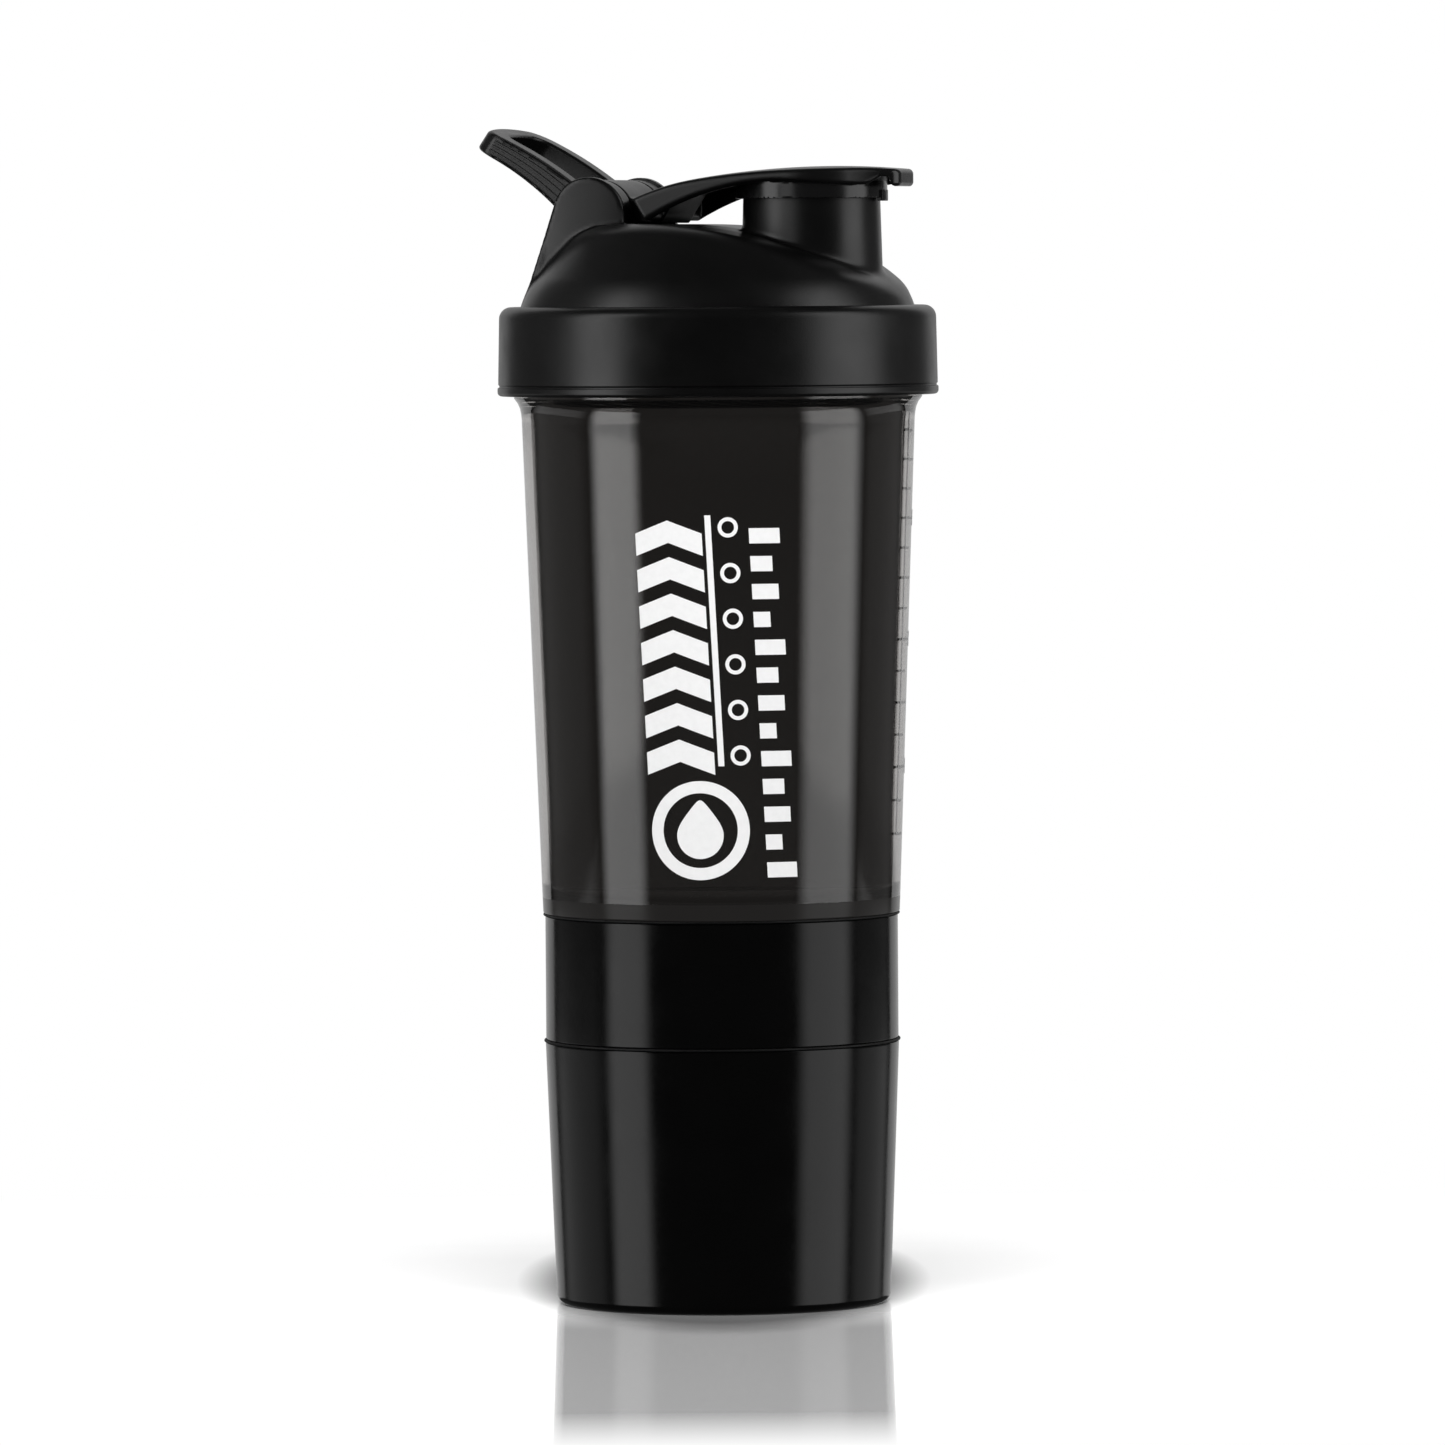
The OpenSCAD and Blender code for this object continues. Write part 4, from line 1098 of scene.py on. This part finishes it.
def floor_material():
    """White and partly a mirror, most of all in front of the bottle, with a painted shadow under the bottle.
    A way in front of the bottle and behind it, the floor is plain white.
    Only the camera sees this: to everything else the floor is a dull grey."""
    m = Nodes("floor")
    turn = math.radians(CAMERA_TURN)
    ahead = m.towards((math.sin(turn), -math.cos(turn), 0))
    beside = m.towards((math.cos(turn), math.sin(turn), 0))
    m.shade(Base_Color=(0.9, 0.9, 0.9, 1), Specular_IOR_Level=0.0,
            Roughness=m.remap(m.noise(40, 2), 0.6, 0.8))
    gain = 1 / BACK_STRENGTH
    mirror = m.add("ShaderNodeBsdfGlossy", Color=(gain, gain, gain, 1),
                   Roughness=m.remap(m.noise(60, 2), 0.010, 0.020))
    polished = m.mix(m.remap(ahead, 0.35, 0.76, -0.03, 0.06), m.shader, mirror)
    far_off = m.math("MAXIMUM", m.remap(ahead, 0, 1, 0.222, 0.283), m.remap(ahead, 1, 0, -0.26, -0.13))
    bright = m.mix(far_off, polished, m.add("ShaderNodeEmission", Color=WHITE))
    # painted shadow: the floor turns towards black in an oval under the bottle
    across = m.math("DIVIDE", beside, SHADOW_HALF_W)
    along = m.math("DIVIDE", m.math("ADD", ahead, SHADOW_BEHIND), SHADOW_HALF_L)
    squares = m.math("ADD", m.math("MULTIPLY", across, across), m.math("MULTIPLY", along, along))
    painted_shadow_share = m.remap(m.math("SQRT", squares), 0.70, 0.0, 0.78, 1.0)
    floor_and_painted_shadow = m.mix(painted_shadow_share, bright, m.add("ShaderNodeEmission", Color=(0, 0, 0, 1)))
    dull = m.add("ShaderNodeBsdfDiffuse", Color=(0.06, 0.06, 0.06, 1))
    return m.show(m.mix(m.add("ShaderNodeLightPath").outputs["Is Camera Ray"], dull, floor_and_painted_shadow))


def light_material(name, strength, soft):
    """An even light whose left and right edges fade over a share of its width."""
    m = Nodes(name)
    whole = m.add("ShaderNodeTexCoord").outputs["Generated"]
    across = m.add("ShaderNodeSeparateXYZ", Vector=whole).outputs[0]
    from_edge = m.math("MINIMUM", across, m.math("SUBTRACT", 1.0, across))
    fade = m.add("ShaderNodeMapRange", Value=from_edge, From_Max=soft, To_Max=strength)
    fade.interpolation_type = "SMOOTHSTEP"
    return m.show(m.add("ShaderNodeEmission", Color=WHITE, Strength=fade.outputs[0]))


def light_only(light, lit):
    """Makes a light fall on these objects and no others."""
    group = bpy.data.collections.new(light.name + "_falls_on")
    for piece in lit:
        group.objects.link(piece)
    light.light_linking.receiver_collection = group


def standing_light(name, from_turn, to_turn, distance, low, high, strength, soft=0.25):
    """An upright light between two bearings, in degrees from the camera's side, as seen from the bottle."""
    ends = []
    for turn in (from_turn, to_turn):
        a = math.radians(CAMERA_TURN + turn)
        ends.append(Vector((distance * math.sin(a), -distance * math.cos(a), low)))
    width, height = (ends[1] - ends[0]).length, high - low
    along = (ends[1] - ends[0]).normalized()
    up = Vector((0, 0, 1))
    place = Matrix((along, up, along.cross(up))).transposed().to_4x4()
    place.translation = ends[0]
    plane = stage_plane(name, [(0, 0, 0), (width, 0, 0), (width, height, 0), (0, height, 0)],
                        light_material(name, strength, soft))
    plane.matrix_world = place
    plane.visible_camera = False
    return plane


def make_floor():
    half = 6.0
    plane = stage_plane("floor", [(-half, -half, 0), (half, -half, 0), (half, half, 0), (-half, half, 0)],
                        floor_material())
    plane.visible_glossy = False
    return plane


def make_world():
    """White to the camera, and a faint light to everything else."""
    world = Nodes("studio", bpy.data.worlds.new("studio"))
    world.shade(Color=WHITE, Strength=0.05)
    seen = world.add("ShaderNodeBackground", Color=WHITE)
    to_camera = world.add("ShaderNodeLightPath").outputs["Is Camera Ray"]
    bpy.context.scene.world = world.show(world.mix(to_camera, world.shader, seen), "World Output")


def make_front_light():
    """A lamp above the camera that faces the bottle."""
    lamp = bpy.data.lights.new("front", "AREA")
    lamp.shape = "RECTANGLE"
    lamp.size = 1.0
    lamp.size_y = 0.8
    lamp.energy = 30
    rise, distance, bearing = math.radians(60), 1.3, math.radians(CAMERA_TURN)
    light = new_object("front", lamp)
    light.location = (distance * math.cos(rise) * math.sin(bearing),
                      -distance * math.cos(rise) * math.cos(bearing), distance * math.sin(rise) + 0.1)
    light.rotation_euler = (math.pi / 2 - rise, 0, bearing)
    light.visible_camera = False
    return light


floor = make_floor()
standing_light("left_light", -83, -45, 1.1, -0.3, 1.2, 2.3)
standing_light("right_light", 47, 96, 1.1, -0.3, 1.2, 1.85)
for side, from_turn, to_turn in (("left", -142, -80), ("right", 92, 142)):
    standing_light(side + "_fill", from_turn, to_turn, 1.3, -0.033, 1.2, 0.12)
    standing_light(side + "_low_fill", from_turn, to_turn, 1.3, -0.3, -0.033, 0.46)
standing_light("back_light", 138, 222, 1.5, -0.2, 1.6, BACK_STRENGTH, soft=0.1)
make_world()
light_only(make_front_light(), [floor] + printed)
light_only(standing_light("lid_light", -52, -24, 1.0, 0.1, 0.7, 1.1), lid_top)

CAMERA_LENS = 285.0
CAMERA_DISTANCE = 2.29
CAMERA_TILT = 2.33
CAMERA_ROLL = 0.385
CAMERA_AIM_SHARE = 0.493    # the height aimed at, as a share of the bottle's height
CAMERA_AIM_RIGHT = 0.00044


def make_camera():
    camera = bpy.data.cameras.new("camera")
    camera.lens = CAMERA_LENS
    camera.sensor_width = 36.0
    camera.clip_end = 20.0
    camera_object = new_object("camera", camera)
    turn, tilt = math.radians(CAMERA_TURN), math.radians(CAMERA_TILT)
    right = Vector((math.cos(turn), math.sin(turn), 0))
    back = Vector((math.sin(turn) * math.cos(tilt), -math.cos(turn) * math.cos(tilt), math.sin(tilt)))
    aim = Vector((0, 0, cad_box[1][2] * CAMERA_AIM_SHARE)) + right * CAMERA_AIM_RIGHT
    rotation = Matrix((right, back.cross(right), back)).transposed()
    rotation = rotation @ Matrix.Rotation(math.radians(-CAMERA_ROLL), 3, "Z")
    camera_object.matrix_world = Matrix.Translation(aim + back * CAMERA_DISTANCE) @ rotation.to_4x4()
    bpy.context.scene.camera = camera_object


make_camera()
bpy.context.scene.view_settings.view_transform = "Standard"
